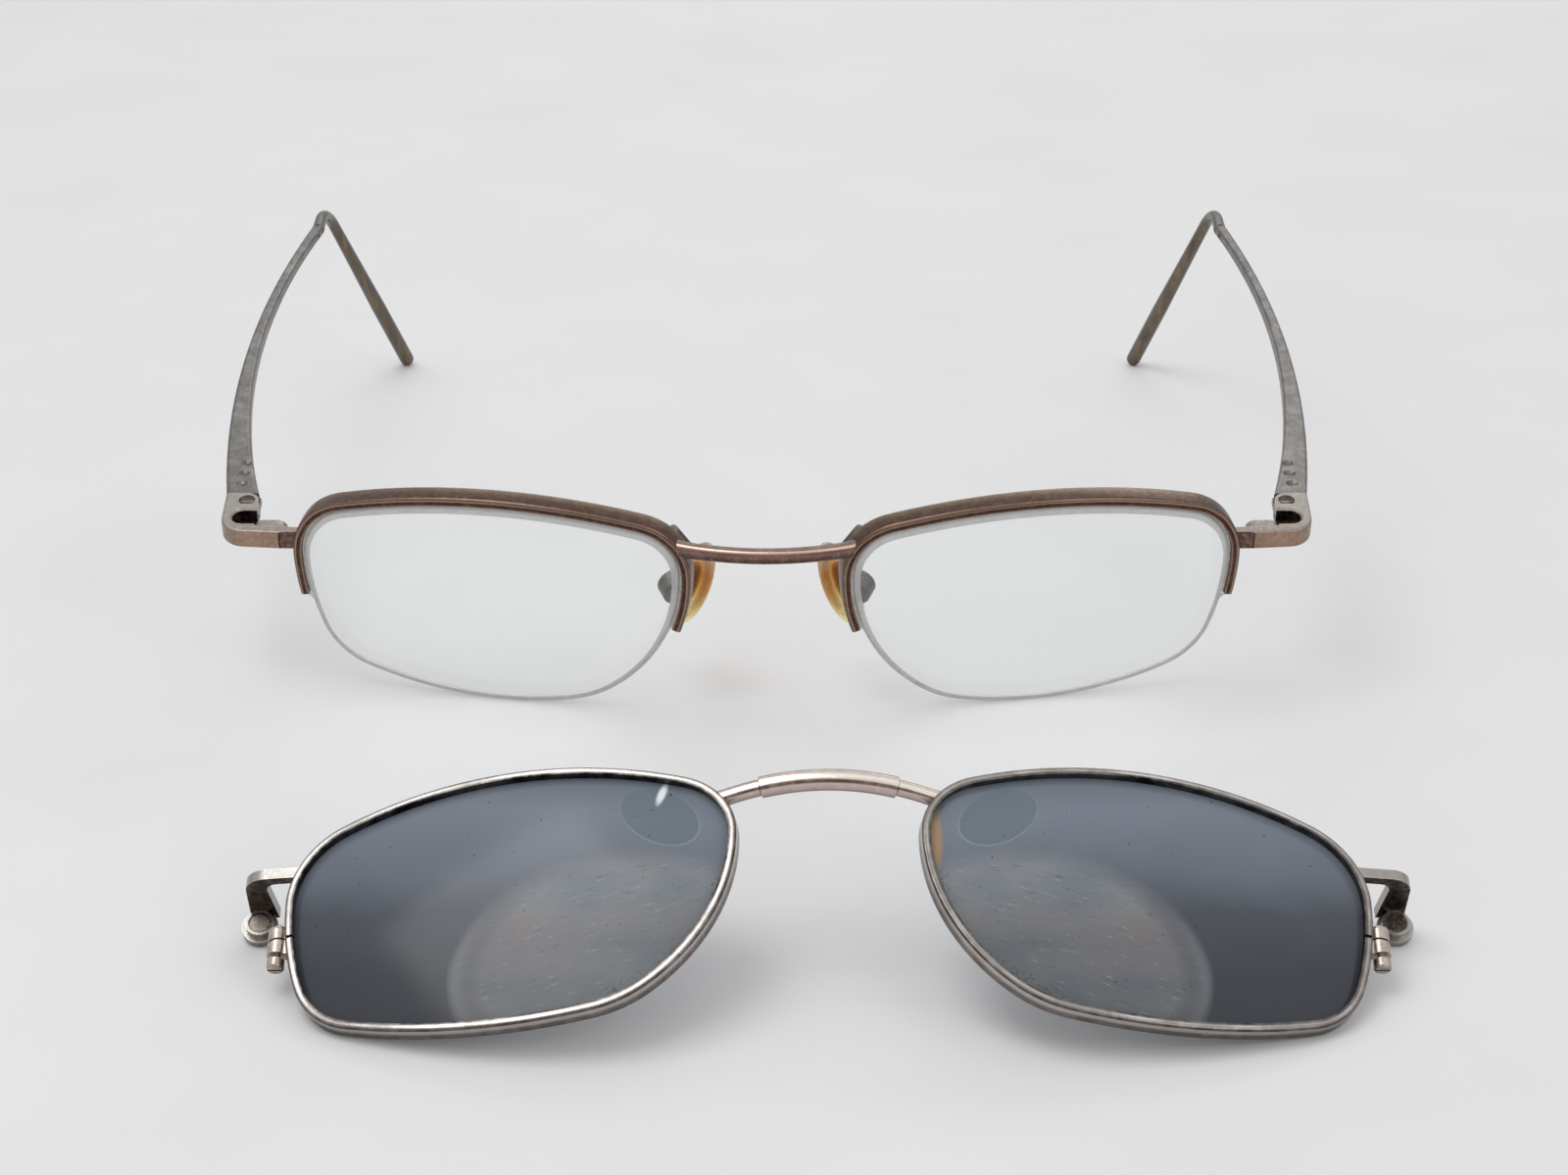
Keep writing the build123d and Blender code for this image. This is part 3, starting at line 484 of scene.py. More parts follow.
def cupRing(tree, coords, inner, outer):
    # A ring about the middle of the magnet in its cup, where painted shade darkens the gap round the magnet
    x, _, z = split(tree, inFront(tree, coords, clipToWorld))
    across = maths(tree, "SUBTRACT", maths(tree, "ABSOLUTE", x), clip["magnet"][0])
    above = maths(tree, "SUBTRACT", z, clip["magnet"][2])
    away = maths(tree, "SQRT", maths(tree, "ADD", times(tree, across, across), times(tree, above, above)))
    return between(tree, away, inner, outer, cupLook["soft"])


def armPaint(tree, coords):
    # Light, with the strip's underside darkened as painted shade mottled with dark brown stains, and a dark ring
    # round the magnet as painted shade in the gap about it
    # Painted shade: the strip's downward-facing underside is darkened, with dark brown stains mottled into it
    under = rise(tree, facing(tree, clipToWorld, (0, 0, -1)), 0.55, 0.8)
    _, _, z = split(tree, inFront(tree, coords, clipToWorld))
    strip = between(tree, z, armLook["stripLow"], armLook["stripHigh"], armLook["soft"])
    stainAndShade = ramp(tree, noise(tree, coords, 1.3, 4, 0.65), (
        (0.35, (0.02, 0.014, 0.011)), (0.7, (0.085, 0.062, 0.047)),
    ))
    colour = mixed(tree, times(tree, under, strip), (0.33, 0.31, 0.29), stainAndShade)
    return mixed(tree, cupRing(tree, coords, *cupLook["armRing"]), colour, cupLook["shade"])


def magnetPaint(tree, coords):
    # A worn disc with a dark edge, painted shade where it sits in its cup
    ring = cupRing(tree, coords, *cupLook["magnetRing"])
    return mixed(tree, ring, (0.27, 0.24, 0.205), cupLook["shade"])


templeLook = dict(span=200.0)


def templePaint(tree, coords):
    # Grey in soft bands along the temple, darker on top and towards the ear
    _, y, _ = split(tree, coords)
    along = maths(tree, "DIVIDE", y, templeLook["span"])
    broad = noise(tree, scaled(tree, coords, (0.3, 0.06, 0.3)), 1.0, 3, 0.5)
    tone = ramp(tree, broad, ((0.3, (0.17, 0.163, 0.155)), (0.7, (0.245, 0.235, 0.222))))
    up = rise(tree, facing(tree, glassesToWorld, (0, 0, 1)), 0.3, 0.8)
    tone = mixed(tree, up, tone, (0.125, 0.118, 0.11))
    return mixed(tree, ramp(tree, along, ((0.0, 0.0), (0.1, 0.0), (0.4, 0.5))), tone, (0.1, 0.095, 0.09))


metalLooks = dict(
    frontBrown=dict(paint=rimPaint, worn=(0.5, 0.35, 0.25), dark=(0.03, 0.02, 0.015),
                    patch=0.12, edge=0, speck=0.3),
    endCopper=dict(paint=endpiecePaint, worn=(0.66, 0.53, 0.44), dark=(0.12, 0.075, 0.055), rough=0.36,
                   patch=0.28, grain=1.6, speck=0.45),
    bridgeCopper=dict(paint=bridgePaint, worn=(0.62, 0.48, 0.42), dark=(0.07, 0.045, 0.04),
                      patch=0.18, edge=0, speck=0.35),
    templeSteel=dict(paint=templePaint, worn=(0.52, 0.5, 0.475), dark=(0.09, 0.085, 0.08), rough=0.36,
                     patch=0.22, grain=0.5, brushed=(2.5, 0.12, 2.5), speck=0.12),
    clipSteel=dict(paint=clipRimPaint, worn=(0.84, 0.82, 0.8), dark=(0.14, 0.115, 0.1), rough=0.2,
                   patch=0.14, grain=0.7, edge=0, speck=0.35),
    clipBridgeMetal=dict(paint=clipBridgePaint, worn=(0.86, 0.78, 0.73), dark=(0.2, 0.15, 0.13), rough=0.2,
                         patch=0.2, edge=0, speck=0.3),
    armSteel=dict(paint=armPaint, worn=(0.62, 0.59, 0.56), dark=(0.1, 0.08, 0.065), patch=0.16),
    lockBronze=dict(base=(0.42, 0.36, 0.31), worn=(0.74, 0.68, 0.61), dark=(0.1, 0.07, 0.055),
                    patch=0.4),
    lockScrew=dict(base=(0.36, 0.3, 0.26), worn=(0.82, 0.77, 0.71), dark=(0.05, 0.04, 0.03), rough=0.25,
                   patch=0.4),
    magnetPlate=dict(paint=magnetPaint, worn=(0.52, 0.475, 0.41), dark=(0.07, 0.05, 0.04), rough=0.4,
                     grain=2.4, edge=0, speck=0.9),
    rustyMagnet=dict(base=(0.055, 0.042, 0.034), worn=(0.42, 0.37, 0.32), dark=(0.02, 0.014, 0.011),
                     rough=0.45, patch=0.42, grain=2.2, speck=0.7),
    holderSteel=dict(base=(0.24, 0.23, 0.215), worn=(0.5, 0.48, 0.45), dark=(0.07, 0.06, 0.055), rough=0.33),
    screwSteel=dict(base=(0.3, 0.275, 0.25), worn=(0.62, 0.59, 0.55), dark=(0.08, 0.065, 0.055), rough=0.3),
    boxMetal=dict(base=(0.115, 0.11, 0.1), worn=(0.34, 0.32, 0.29), dark=(0.03, 0.027, 0.024), rough=0.38,
                  patch=0.25),
    padWire=dict(base=(0.1, 0.075, 0.055), worn=(0.36, 0.3, 0.24), dark=(0.03, 0.022, 0.016), rough=0.33,
                 patch=0.3),
    insertMetal=dict(base=(0.5, 0.25, 0.08), worn=(0.68, 0.42, 0.18), dark=(0.22, 0.09, 0.03), rough=0.4),
)
metals = {name: wornMetal(name, **look) for name, look in metalLooks.items()}
print("metals made")


# Lenses, nylon, pads and tips
fineBump = 0.00001


def clearLensMaterial():
    mat, tree, shader, coords = newMaterial("clearLens")
    haze = ramp(tree, noise(tree, coords, 0.24, 4, 0.6), ((0.45, 0.0), (0.8, 0.05)))
    setInputs(tree, shader, {
        "Base Color": (0.965, 0.975, 0.97), "Roughness": haze, "Transmission Weight": 1, "IOR": 1.5,
    })
    lampsThrough(tree, shader, (0.9, 0.91, 0.91))
    return mat


def frostedMaterial(name, colour, through, shadow, rough=(0.35, 0.6)):
    mat, tree, shader, coords = newMaterial(name)
    cloudy = noise(tree, coords, 0.9, 3, 0.5)
    setInputs(tree, shader, {
        "Base Color": ramp(tree, cloudy, ((0.3, tuple(c * 0.86 for c in colour)), (0.7, colour))),
        "Roughness": ramp(tree, cloudy, ((0.3, rough[0]), (0.7, rough[1]))),
        "Transmission Weight": through, "IOR": 1.5,
    })
    bumped(tree, shader, noise(tree, coords, 4.0, 3, 0.5), fineBump)
    lampsThrough(tree, shader, shadow)
    return mat


def ellipseDistance(tree, place, middle, reach):
    # 1 on the ellipse, less inside it
    moved = scaled(tree, place, (1 / reach[0], 1 / reach[1], 0), (0, 0, 0),
                   (-middle[0] / reach[0], -middle[1] / reach[1], 0))
    return vectorMaths(tree, "LENGTH", moved)


# Ellipses on the sun lens, each with its middle and its reach, in lensPlace's x, 1 at the nose, and y,
# 1 at the top. A lean is the height that stays in place and the shift across per height above it
sunPaint = dict(
    haze=((0.6, -0.62), (0.84, 0.98)), drop=((0.69, 0.6), (0.17, 0.27)), dropLean=(0.6, 0.25),
    glint=((0.695, 0.8), (0.024, 0.12)), glintLean=(0.8, -0.16), warm=((0.975, 0.4), (0.04, 0.34)),
    scratchTurn=-0.42, scratchDepth=0.000004,
)


def leaning(tree, nose, up, level, lean):
    moved = newNode(tree, "CombineXYZ")
    shift = times(tree, maths(tree, "SUBTRACT", up, level), lean)
    feed(tree, maths(tree, "ADD", nose, shift), moved.inputs[0])
    feed(tree, up, moved.inputs[1])
    return moved.outputs[0]


def sunLensMaterial(name, warmReflection, sparkle):
    # Blue-grey tint, lighter towards the top as a painted reflection, with a rubbed, hazy field towards the nose
    # and the lower edge whose pale colour is partly rubbing and partly a painted reflection, brighter towards its
    # top, and a drop-shaped mark above it
    mat, tree, shader, coords = newMaterial(name)
    place = attribute(tree, "lensPlace", "Vector")
    nose, up, _ = split(tree, place)
    cloud = noise(tree, scaled(tree, place, (1.0, 0.7, 1)), 1.6, 3, 0.5, 0.3)
    # Painted reflection: the tint gets lighter towards the top
    tone = maths(tree, "ADD", times(tree, up, 0.46), times(tree, nose, 0.12))
    tone = maths(tree, "ADD", maths(tree, "ADD", tone, 0.45), swing(tree, cloud, 0.2))
    tint = ramp(tree, tone, (
        (0.12, (0.04, 0.045, 0.056)), (0.38, (0.064, 0.072, 0.09)), (0.55, (0.13, 0.149, 0.184)),
        (0.8, (0.185, 0.212, 0.258)), (1.0, (0.14, 0.16, 0.195)),
    ))
    wobble = swing(tree, noise(tree, place, 1.6, 2, 0.5), 0.1)
    field = maths(tree, "ADD", ellipseDistance(tree, place, *sunPaint["haze"]), wobble)
    inside = fall(tree, field, 0.8, 0.98)
    broad = noise(tree, scaled(tree, place, (0.9, 1.5, 1), (0, 0, 0.3)), 1.4, 3, 0.5, 0.6)
    haze = ramp(tree, broad, (
        (0.34, (0.18, 0.207, 0.23)), (0.46, (0.222, 0.236, 0.25)), (0.56, (0.248, 0.244, 0.256)),
        (0.64, (0.255, 0.238, 0.244)), (0.74, (0.215, 0.218, 0.242)),
    ))
    # Painted light: the haze gets brighter towards the top
    height = maths(tree, "ADD", times(tree, up, 0.5), 0.5)
    bright = ramp(tree, height, ((0.0, 0.66), (0.3, 0.72), (0.5, 1.0)))
    haze = mixed(tree, 1.0, haze, bright, "MULTIPLY")
    colour = mixed(tree, times(tree, inside, 0.85), tint, haze)
    # A painted highlight along the field's edge towards the temple
    rim = ramp(tree, field, ((0.86, 0.0), (0.93, 1.0), (0.955, 1.0), (1.0, 0.0)))
    towardsTemple = fall(tree, maths(tree, "ADD", nose, 0.6), 0.35, 0.6)
    colour = mixed(tree, times(tree, rim, towardsTemple, 0.45), colour, (0.25, 0.27, 0.285))
    leant = leaning(tree, nose, up, *sunPaint["dropLean"])
    drop = maths(tree, "ADD", ellipseDistance(tree, leant, *sunPaint["drop"]), times(tree, wobble, 0.5))
    inDrop = times(tree, fall(tree, drop, 0.96, 1.0), 0.75)
    colour = mixed(tree, inDrop, colour, (0.13, 0.168, 0.2))
    ring = ramp(tree, drop, ((0.93, 0.0), (0.97, 1.0), (1.0, 1.0), (1.04, 0.0)))
    ring = times(tree, ring, ramp(tree, up, ((0.45, 0.5), (0.8, 0.12))))
    colour = mixed(tree, ring, colour, (0.3, 0.32, 0.34))
    if sparkle:
        leant = leaning(tree, nose, up, *sunPaint["glintLean"])
        glint = fall(tree, ellipseDistance(tree, leant, *sunPaint["glint"]), 0.45, 1.0)
        colour = mixed(tree, glint, colour, (0.85, 0.87, 0.9))
    slanted = scaled(tree, place, (1, 1, 1), (0, 0, sunPaint["scratchTurn"]))
    fine = noise(tree, scaled(tree, slanted, (4.0, 17.0, 1)), 2.2, 4, 0.7)
    scratches = rise(tree, fine, 0.6, 0.66)
    colour = mixed(tree, times(tree, scratches, inside, 0.6), colour, (0.075, 0.08, 0.095))
    light = fall(tree, fine, 0.34, 0.4)
    colour = mixed(tree, times(tree, light, inside, 0.35), colour, (0.4, 0.4, 0.41))
    dots = rise(tree, noise(tree, coords, 1.6, 1, 0.4), 0.775, 0.79)
    colour = mixed(tree, times(tree, dots, 0.8), colour, (0.03, 0.03, 0.035))
    nearEdge = rise(tree, ellipseDistance(tree, place, (0, 0), (1.0, 1.0)), 0.9, 0.97)
    flecks = rise(tree, noise(tree, coords, 2.2, 4, 0.7), 0.54, 0.6)
    atNose = rise(tree, nose, 0.35, 0.5)
    lowNose = times(tree, atNose, fall(tree, up, 0.0, 0.2))
    colour = mixed(tree, times(tree, nearEdge, flecks, lowNose, 0.8), colour, (0.02, 0.02, 0.024))
    if warmReflection:
        # A painted warm reflection near the nasal edge
        warm = fall(tree, ellipseDistance(tree, place, *sunPaint["warm"]), 0.5, 1.0)
        colour = mixed(tree, times(tree, warm, 0.7), colour, (0.46, 0.27, 0.1))
    grained = ramp(tree, noise(tree, coords, 3.5), ((0.3, 0.1), (0.7, 0.2)))
    rubbed = mixed(tree, inside, grained, (0.26, 0.26, 0.26))
    setInputs(tree, shader, {"Base Color": colour, "Roughness": rubbed, "Specular IOR Level": 0.3})
    bumped(tree, shader, fine, sunPaint["scratchDepth"])
    return mat


def padMaterial():
    # Yellowed silicone: amber in the middle, yellow below, clearer and grey at the top
    mat, tree, shader, coords = newMaterial("padAmber")
    cloud = noise(tree, coords, 0.35, 4, 0.6, 0.4)
    shifted = maths(tree, "ADD", attribute(tree, "padHeight"), swing(tree, cloud, 0.25))
    colour = ramp(tree, shifted, (
        (0.05, (1.0, 0.91, 0.52)), (0.36, (0.99, 0.83, 0.36)), (0.58, (0.86, 0.5, 0.15)),
        (0.78, (0.74, 0.36, 0.1)), (0.9, (0.78, 0.72, 0.6)), (1.0, (0.8, 0.8, 0.77)),
    ))
    grained = ramp(tree, cloud, ((0.3, 0.14), (0.7, 0.3)))
    setInputs(tree, shader, {
        "Base Color": colour, "Roughness": grained, "Transmission Weight": 0.75, "IOR": 1.42,
    })
    bumped(tree, shader, noise(tree, coords, 0.9, 3, 0.5), 2 * fineBump)
    lampsThrough(tree, shader, (0.8, 0.74, 0.64))
    return mat


def tipMaterial():
    # Olive shell over a brown core that shows through where one looks straight in
    mat, tree, shader, coords = newMaterial("tipOlive")
    streaks = noise(tree, scaled(tree, coords, (0.7, 0.2, 0.12)), 0.9, 4, 0.6, 0.5)
    shell = ramp(tree, streaks, ((0.3, (0.04, 0.032, 0.022)), (0.7, (0.105, 0.088, 0.06))))
    core = ramp(tree, streaks, (
        (0.3, (0.09, 0.055, 0.026)), (0.5, (0.22, 0.135, 0.06)), (0.72, (0.4, 0.27, 0.14)),
    ))
    weight = newNode(tree, "LayerWeight")
    weight.inputs["Blend"].default_value = 0.35
    middle = fall(tree, weight.outputs["Facing"], 0.1, 0.45)
    setInputs(tree, shader, {
        "Base Color": mixed(tree, middle, shell, core), "Transmission Weight": 0.1, "IOR": 1.47,
        "Roughness": ramp(tree, streaks, ((0.3, 0.18), (0.7, 0.34))),
    })
    bumped(tree, shader, noise(tree, coords, 1.5, 3, 0.5), fineBump)
    return mat


clearLens = clearLensMaterial()
lensEdge = frostedMaterial("lensEdge", (0.6, 0.6, 0.59), 0.3, (0.85, 0.85, 0.85))
linerWhite = frostedMaterial("linerWhite", (0.93, 0.93, 0.91), 0.2, (0.7, 0.7, 0.7), (0.2, 0.4))
cordClear = frostedMaterial("cordClear", (0.94, 0.94, 0.92), 0.5, (0.85, 0.85, 0.85), (0.12, 0.25))
padAmber = padMaterial()
tipOlive = tipMaterial()
print("lens and plastic materials made")


# From shapes to pieces
def meshOf(vertices, faces, name="shape"):
    mesh = bpy.data.meshes.new(name)
    mesh.from_pydata([tuple(v) for v in vertices], [], faces)
    mesh.update()
    return mesh


def smoothed(mesh, angle):
    mesh.shade_smooth()
    mesh.set_sharp_from_angle(angle=radians(angle))
    return mesh


def stacked(rows, front, back):
    # Rows of points round a middle, joined by faces and closed at a front and a back point. Each
    # step round gives the two closing faces first, then one face per gap between rows
    count = len(rows[0])
    last = 2 + (len(rows) - 1) * count
    vertices = [front, back] + [point for row in rows for point in row]
    faces = []
    for k in range(count):
        after = (k + 1) % count
        faces += [(0, 2 + k, 2 + after), (1, last + after, last + k)]
        for r in range(len(rows) - 1):
            low, high = 2 + r * count, 2 + (r + 1) * count
            faces.append((low + k, high + k, high + after, low + after))
    return vertices, faces


def linked(name, data):
    piece = bpy.data.objects.new(name, data)
    bpy.context.scene.collection.objects.link(piece)
    return piece


def placed(name, mesh, frontToWorld, toFront, materials, body, replacing, mirrored=False):
    shape = mesh.copy()
    matrix = frontToWorld @ (mirrorX if mirrored else Matrix.Identity(4)) @ toFront
    shape.transform(matrix)
    if matrix.determinant() < 0:
        shape.flip_normals()
    for material in materials:
        shape.materials.append(material)
    piece = linked(name, shape)
    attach(piece, body)
    if replacing:
        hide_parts(replacing)


def pair(name, mesh, frontToWorld, toFront, materials, nodeName, bodies=("front", "front")):
    # The same shape on the wearer's left and, mirrored, on the right. nodeName has no side, and is
    # None where no node is replaced
    for (side, sign), body in zip(sides, bodies):
        replacing = side + "_" + nodeName if nodeName else None
        placed(side + name, mesh, frontToWorld, toFront, materials, body, replacing, sign < 0)


# A wire or rim that follows a path, made with geometry nodes. profileX and profileY keep each
# point's place in the section, from -1 to 1
cornerSteps = 7


def sweepTree():
    tree = bpy.data.node_groups.new("sweptProfile", "GeometryNodeTree")
    face = tree.interface
    face.new_socket("Geometry", in_out="INPUT", socket_type="NodeSocketGeometry")
    for label in ("Width", "Depth", "Outer Rounding", "Inner Rounding"):
        face.new_socket(label, in_out="INPUT", socket_type="NodeSocketFloat")
    face.new_socket("Geometry", in_out="OUTPUT", socket_type="NodeSocketGeometry")
    add = tree.nodes.new
    join = tree.links.new

    source = add("NodeGroupInput").outputs
    section = add("GeometryNodeCurvePrimitiveQuadrilateral")
    join(source["Width"], section.inputs["Width"])
    join(source["Depth"], section.inputs["Height"])
    place = add("ShaderNodeSeparateXYZ")
    join(add("GeometryNodeInputPosition").outputs[0], place.inputs[0])
    outside = maths(tree, "GREATER_THAN", place.outputs[0], 0.0)
    difference = maths(tree, "SUBTRACT", source["Outer Rounding"], source["Inner Rounding"])
    rounding = maths(tree, "ADD", times(tree, outside, difference), source["Inner Rounding"])
    fillet = add("GeometryNodeFilletCurve")
    fillet.mode = "POLY"
    fillet.inputs["Count"].default_value = cornerSteps
    join(section.outputs[0], fillet.inputs["Curve"])
    join(rounding, fillet.inputs["Radius"])
    profile = fillet.outputs[0]
    for label, axis, size in (("profileX", 0, "Width"), ("profileY", 1, "Depth")):
        keep = add("GeometryNodeStoreNamedAttribute")
        keep.data_type = "FLOAT"
        keep.domain = "POINT"
        keep.inputs["Name"].default_value = label
        join(profile, keep.inputs["Geometry"])
        value = next(s for s in keep.inputs if s.name == "Value" and s.enabled)
        join(maths(tree, "DIVIDE", place.outputs[axis], times(tree, source[size], 0.5)), value)
        profile = keep.outputs[0]
    sweep = add("GeometryNodeCurveToMesh")
    sweep.inputs["Fill Caps"].default_value = True
    join(source["Geometry"], sweep.inputs["Curve"])
    join(profile, sweep.inputs["Profile Curve"])
    join(add("GeometryNodeInputRadius").outputs[0], sweep.inputs["Scale"])
    join(sweep.outputs[0], add("NodeGroupOutput").inputs[0])
    return tree


sweptProfile = sweepTree()
sweepInputs = {
    item.name: item.identifier for item in sweptProfile.interface.items_tree if item.in_out == "INPUT"
}


def swept(points, width, depth, rounding, inner=None, radii=None):
    # Sweeps a rounded rectangle along a path whose own Z is up, and gives a plain mesh. inner is the
    # rounding on the path's inner side where that differs, and radii scale the section point by point
    data = bpy.data.curves.new("path", "CURVE")
    data.dimensions = "3D"
    data.twist_mode = "Z_UP"
    spline = data.splines.new("POLY")
    spline.points.add(len(points) - 1)
    for index, point in enumerate(points):
        spline.points[index].co = (*point, 1)
        spline.points[index].radius = radii[index] if radii else 1.0
    path = linked("path", data)
    modifier = path.modifiers.new("sweep", "NODES")
    modifier.node_group = sweptProfile
    sizes = {"Width": width, "Depth": depth, "Outer Rounding": rounding,
             "Inner Rounding": rounding if inner is None else inner}
    for label, size in sizes.items():
        modifier[sweepInputs[label]] = float(size)
    bpy.context.view_layer.update()
    evaluated = path.evaluated_get(bpy.context.evaluated_depsgraph_get())
    mesh = bpy.data.meshes.new_from_object(evaluated)
    bpy.data.objects.remove(path)
    bm = bmesh.new()
    bm.from_mesh(mesh)
    bmesh.ops.recalc_face_normals(bm, faces=bm.faces)
    bm.to_mesh(mesh)
    bm.free()
    return smoothed(mesh, 40)


# Lenses
lensLook = dict(thickness=2.0, bevel=0.22, border=0.85, grooveDepth=0.45, grooveFront=0.7, grooveBack=1.3,
                grooveSlope=0.08, rings=16)
sunLook = dict(grow=0.28, thickness=0.8, bevel=0.1, rings=16)


def lensMesh(edge, rings, border=0):
    # Rings from the middle of the front, over the edge, to the middle of the back. The edge's faces
    # take the second material, and so does a border on the front
    def row(grow, depth, share=1.0):
        return [onCurve(p * share, depth) for p in outlinePoints(grow)]

    frontDepth, backDepth = edge[0][1], edge[-1][1]
    rows = [row(*edge[0], k / rings) for k in range(1, rings)]
    if border:
        rows[-1] = row(-border, frontDepth)
    rows += [row(grow, depth) for grow, depth in edge]
    rows += [row(*edge[-1], k / rings) for k in range(rings - 1, 0, -1)]
    middle = Vector((0, 0))
    vertices, faces = stacked(rows, onCurve(middle, frontDepth), onCurve(middle, backDepth))
    firstEdge = rings - (2 if border else 1)
    gaps = [int(firstEdge <= r < rings + len(edge) - 2) for r in range(len(rows) - 1)]
    onEdge = ([0, 0] + gaps) * len(rows[0])
    mesh = meshOf(vertices, faces, "lens")
    mesh.polygons.foreach_set("material_index", onEdge)
    place = mesh.attributes.new("lensPlace", "FLOAT_VECTOR", "POINT")
    place.data.foreach_set("vector", [c for v in vertices for c in (-v.x / halfW, v.y / halfH, 0)])
    return smoothed(mesh, 30)


def makeLenses():
    t, b = lensLook["thickness"], lensLook["bevel"]
    front, back = lensLook["grooveFront"], lensLook["grooveBack"]
    floor, slope = -lensLook["grooveDepth"], lensLook["grooveSlope"]
    groove = [(0, front), (floor, front + slope), (floor, back - slope), (0, back)]
    edge = [(-b, 0), (0, b)] + groove + [(0, t - b), (-b, t)]
    mesh = lensMesh(edge, lensLook["rings"], lensLook["border"])
    pair("Lens", mesh, glassesToWorld, glassesLens, (clearLens, lensEdge), "lens")
    g, t, b = sunLook["grow"], sunLook["thickness"], sunLook["bevel"]
    mesh = lensMesh([(g - b, 0), (g, b), (g, t - b), (g - b, t)], sunLook["rings"])
    for side, sign in sides:
        look = sunLensMaterial(side + "SunLens", sign > 0, sign < 0)
        placed(side + "ClipLens", mesh, clipToWorld, clipLens, (look, look), "clip", side + "_clip_lens",
               sign < 0)


makeLenses()
print("lenses made")


# Rims, liners and cords
rimLook = dict(liner=0.3, width=1.1, proud=0.35, rounding=0.42, inner=0.1, temporalEnd=-3.5, nasalEnd=-2.2,
               step=0.3)
linerLook = dict(width=0.42, depth=1.3, rounding=0.1)
cordLook = dict(width=0.56, rounding=0.56 * 0.48, inset=0.16)


def aboveEnds(point):
    end = rimLook["temporalEnd"] if point.x > 0 else rimLook["nasalEnd"]
    return point.y >= end + glasses["lensDrop"]


def makeRimPiece(name, grow, width, depth, rounding, material, node, inner=None, keep=aboveEnds):
    # Follows the part of the lens's outline that keep() accepts, this far outside it
    outline = openStretch(outlinePoints(grow, rimLook["step"]), keep)
    path = [onCurve(p, lensLook["thickness"] / 2) for p in outline]
    mesh = swept(path, width, depth, rounding, inner)
    pair(name, mesh, glassesToWorld, glassesLens, [material], node)


def makeRims():
    rim, liner, cord = rimLook, linerLook, cordLook
    makeRimPiece("UpperRim", rim["liner"] + rim["width"] / 2, rim["width"],
                 lensLook["thickness"] + 2 * rim["proud"], rim["rounding"], metals["frontBrown"],
                 "upper_rim", rim["inner"])
    makeRimPiece("RimLiner", rim["liner"] - liner["width"] / 2, liner["width"], liner["depth"],
                 liner["rounding"], linerWhite, "rim_liner")
    makeRimPiece("LensCord", -cord["inset"], cord["width"], cord["width"], cord["rounding"], cordClear,
                 "lens_cord", keep=lambda p: not aboveEnds(p))


clipRimLook = dict(width=0.9, front=1.0, back=1.1, rounding=0.3, inner=0.07, cutZ=-1.3, cutGap=0.25,
                   step=0.12)


def makeClipRims():
    look = clipRimLook
    middle = (look["back"] - look["front"]) / 2

    def clearOfCut(point):
        return not (point.x > 0 and abs(point.y - look["cutZ"]) < look["cutGap"] / 2)

    outline = openStretch(outlinePoints(look["width"] / 2, look["step"]), clearOfCut)
    path = [onCurve(p, middle) for p in outline]
    # Every second point is enough once the cut is found, and the last one stays
    path = path[::2] + ([path[-1]] if len(path) % 2 == 0 else [])
    steel = metals["clipSteel"]
    mesh = swept(path, look["width"], look["front"] + look["back"], look["rounding"], look["inner"])
    pair("ClipRim", mesh, clipToWorld, clipLens, [steel], "clip_rim", ("clip", "clip"))


makeRims()
makeClipRims()
print("rims made")


# Bridges
bridgeLook = dict(endX=10.6, endY=-0.95, midY=-3.0888, endZ=9.55, midZ=10.0, height=1.9, depth=1.5,
                  rounding=0.62, flare=1.14, flareFrom=8.7)
clipBridgeLook = dict(endX=11.75, endY=-1.3, midY=-3.2888, endZ=11.0, midZ=12.3, height=1.7, depth=1.7,
                      rounding=0.72, flare=1.1, flareFrom=10.2, sleeve=1.294, sleeveTo=7.2)
bridgeSteps = 160


def makeBridge(name, look, frontToWorld, material, body, node):
    # A bow with flared ends, and a thicker sleeve in the middle where the look has one
    points = []
    radii = []
    for k in range(bridgeSteps + 1):
        x = look["endX"] * (2 * k / bridgeSteps - 1)
        share = (x / look["endX"]) ** 2
        y = look["midY"] + (look["endY"] - look["midY"]) * share
        z = look["midZ"] + (look["endZ"] - look["midZ"]) * share
        points.append(Vector((x, y, z)))
        out = max(0.0, (abs(x) - look["flareFrom"]) / (look["endX"] - look["flareFrom"]))
        radius = 1 + (look["flare"] - 1) * out ** 2
        if abs(x) < look.get("sleeveTo", 0):
            radius = look["sleeve"]
        radii.append(radius)
    mesh = swept(points, look["depth"], look["height"], look["rounding"], radii=radii)
    placed(name, mesh, frontToWorld, Matrix.Identity(4), [material], body, node)


makeBridge("frontBridge", bridgeLook, glassesToWorld, metals["bridgeCopper"], "front", "bridge")
makeBridge("clipBridge", clipBridgeLook, clipToWorld, metals["clipBridgeMetal"], "clip", "clip_bridge")
print("bridges made")


# Ear tips, thin at the bend and thicker towards the end
tipLook = dict(
    start=(64.75, 93.9974, -4.7169), slope=6.3, run=7.5, bend=8.0, length=42.0, endX=8.5, endY=16.0,
    radii=(0.86, 0.8, 1.05), width=2.0, rounding=0.96,
    runSteps=6, bendSteps=18, legSteps=40, swellSteps=24, swellPower=1.3, endSteps=7, endSpan=7.3,
)


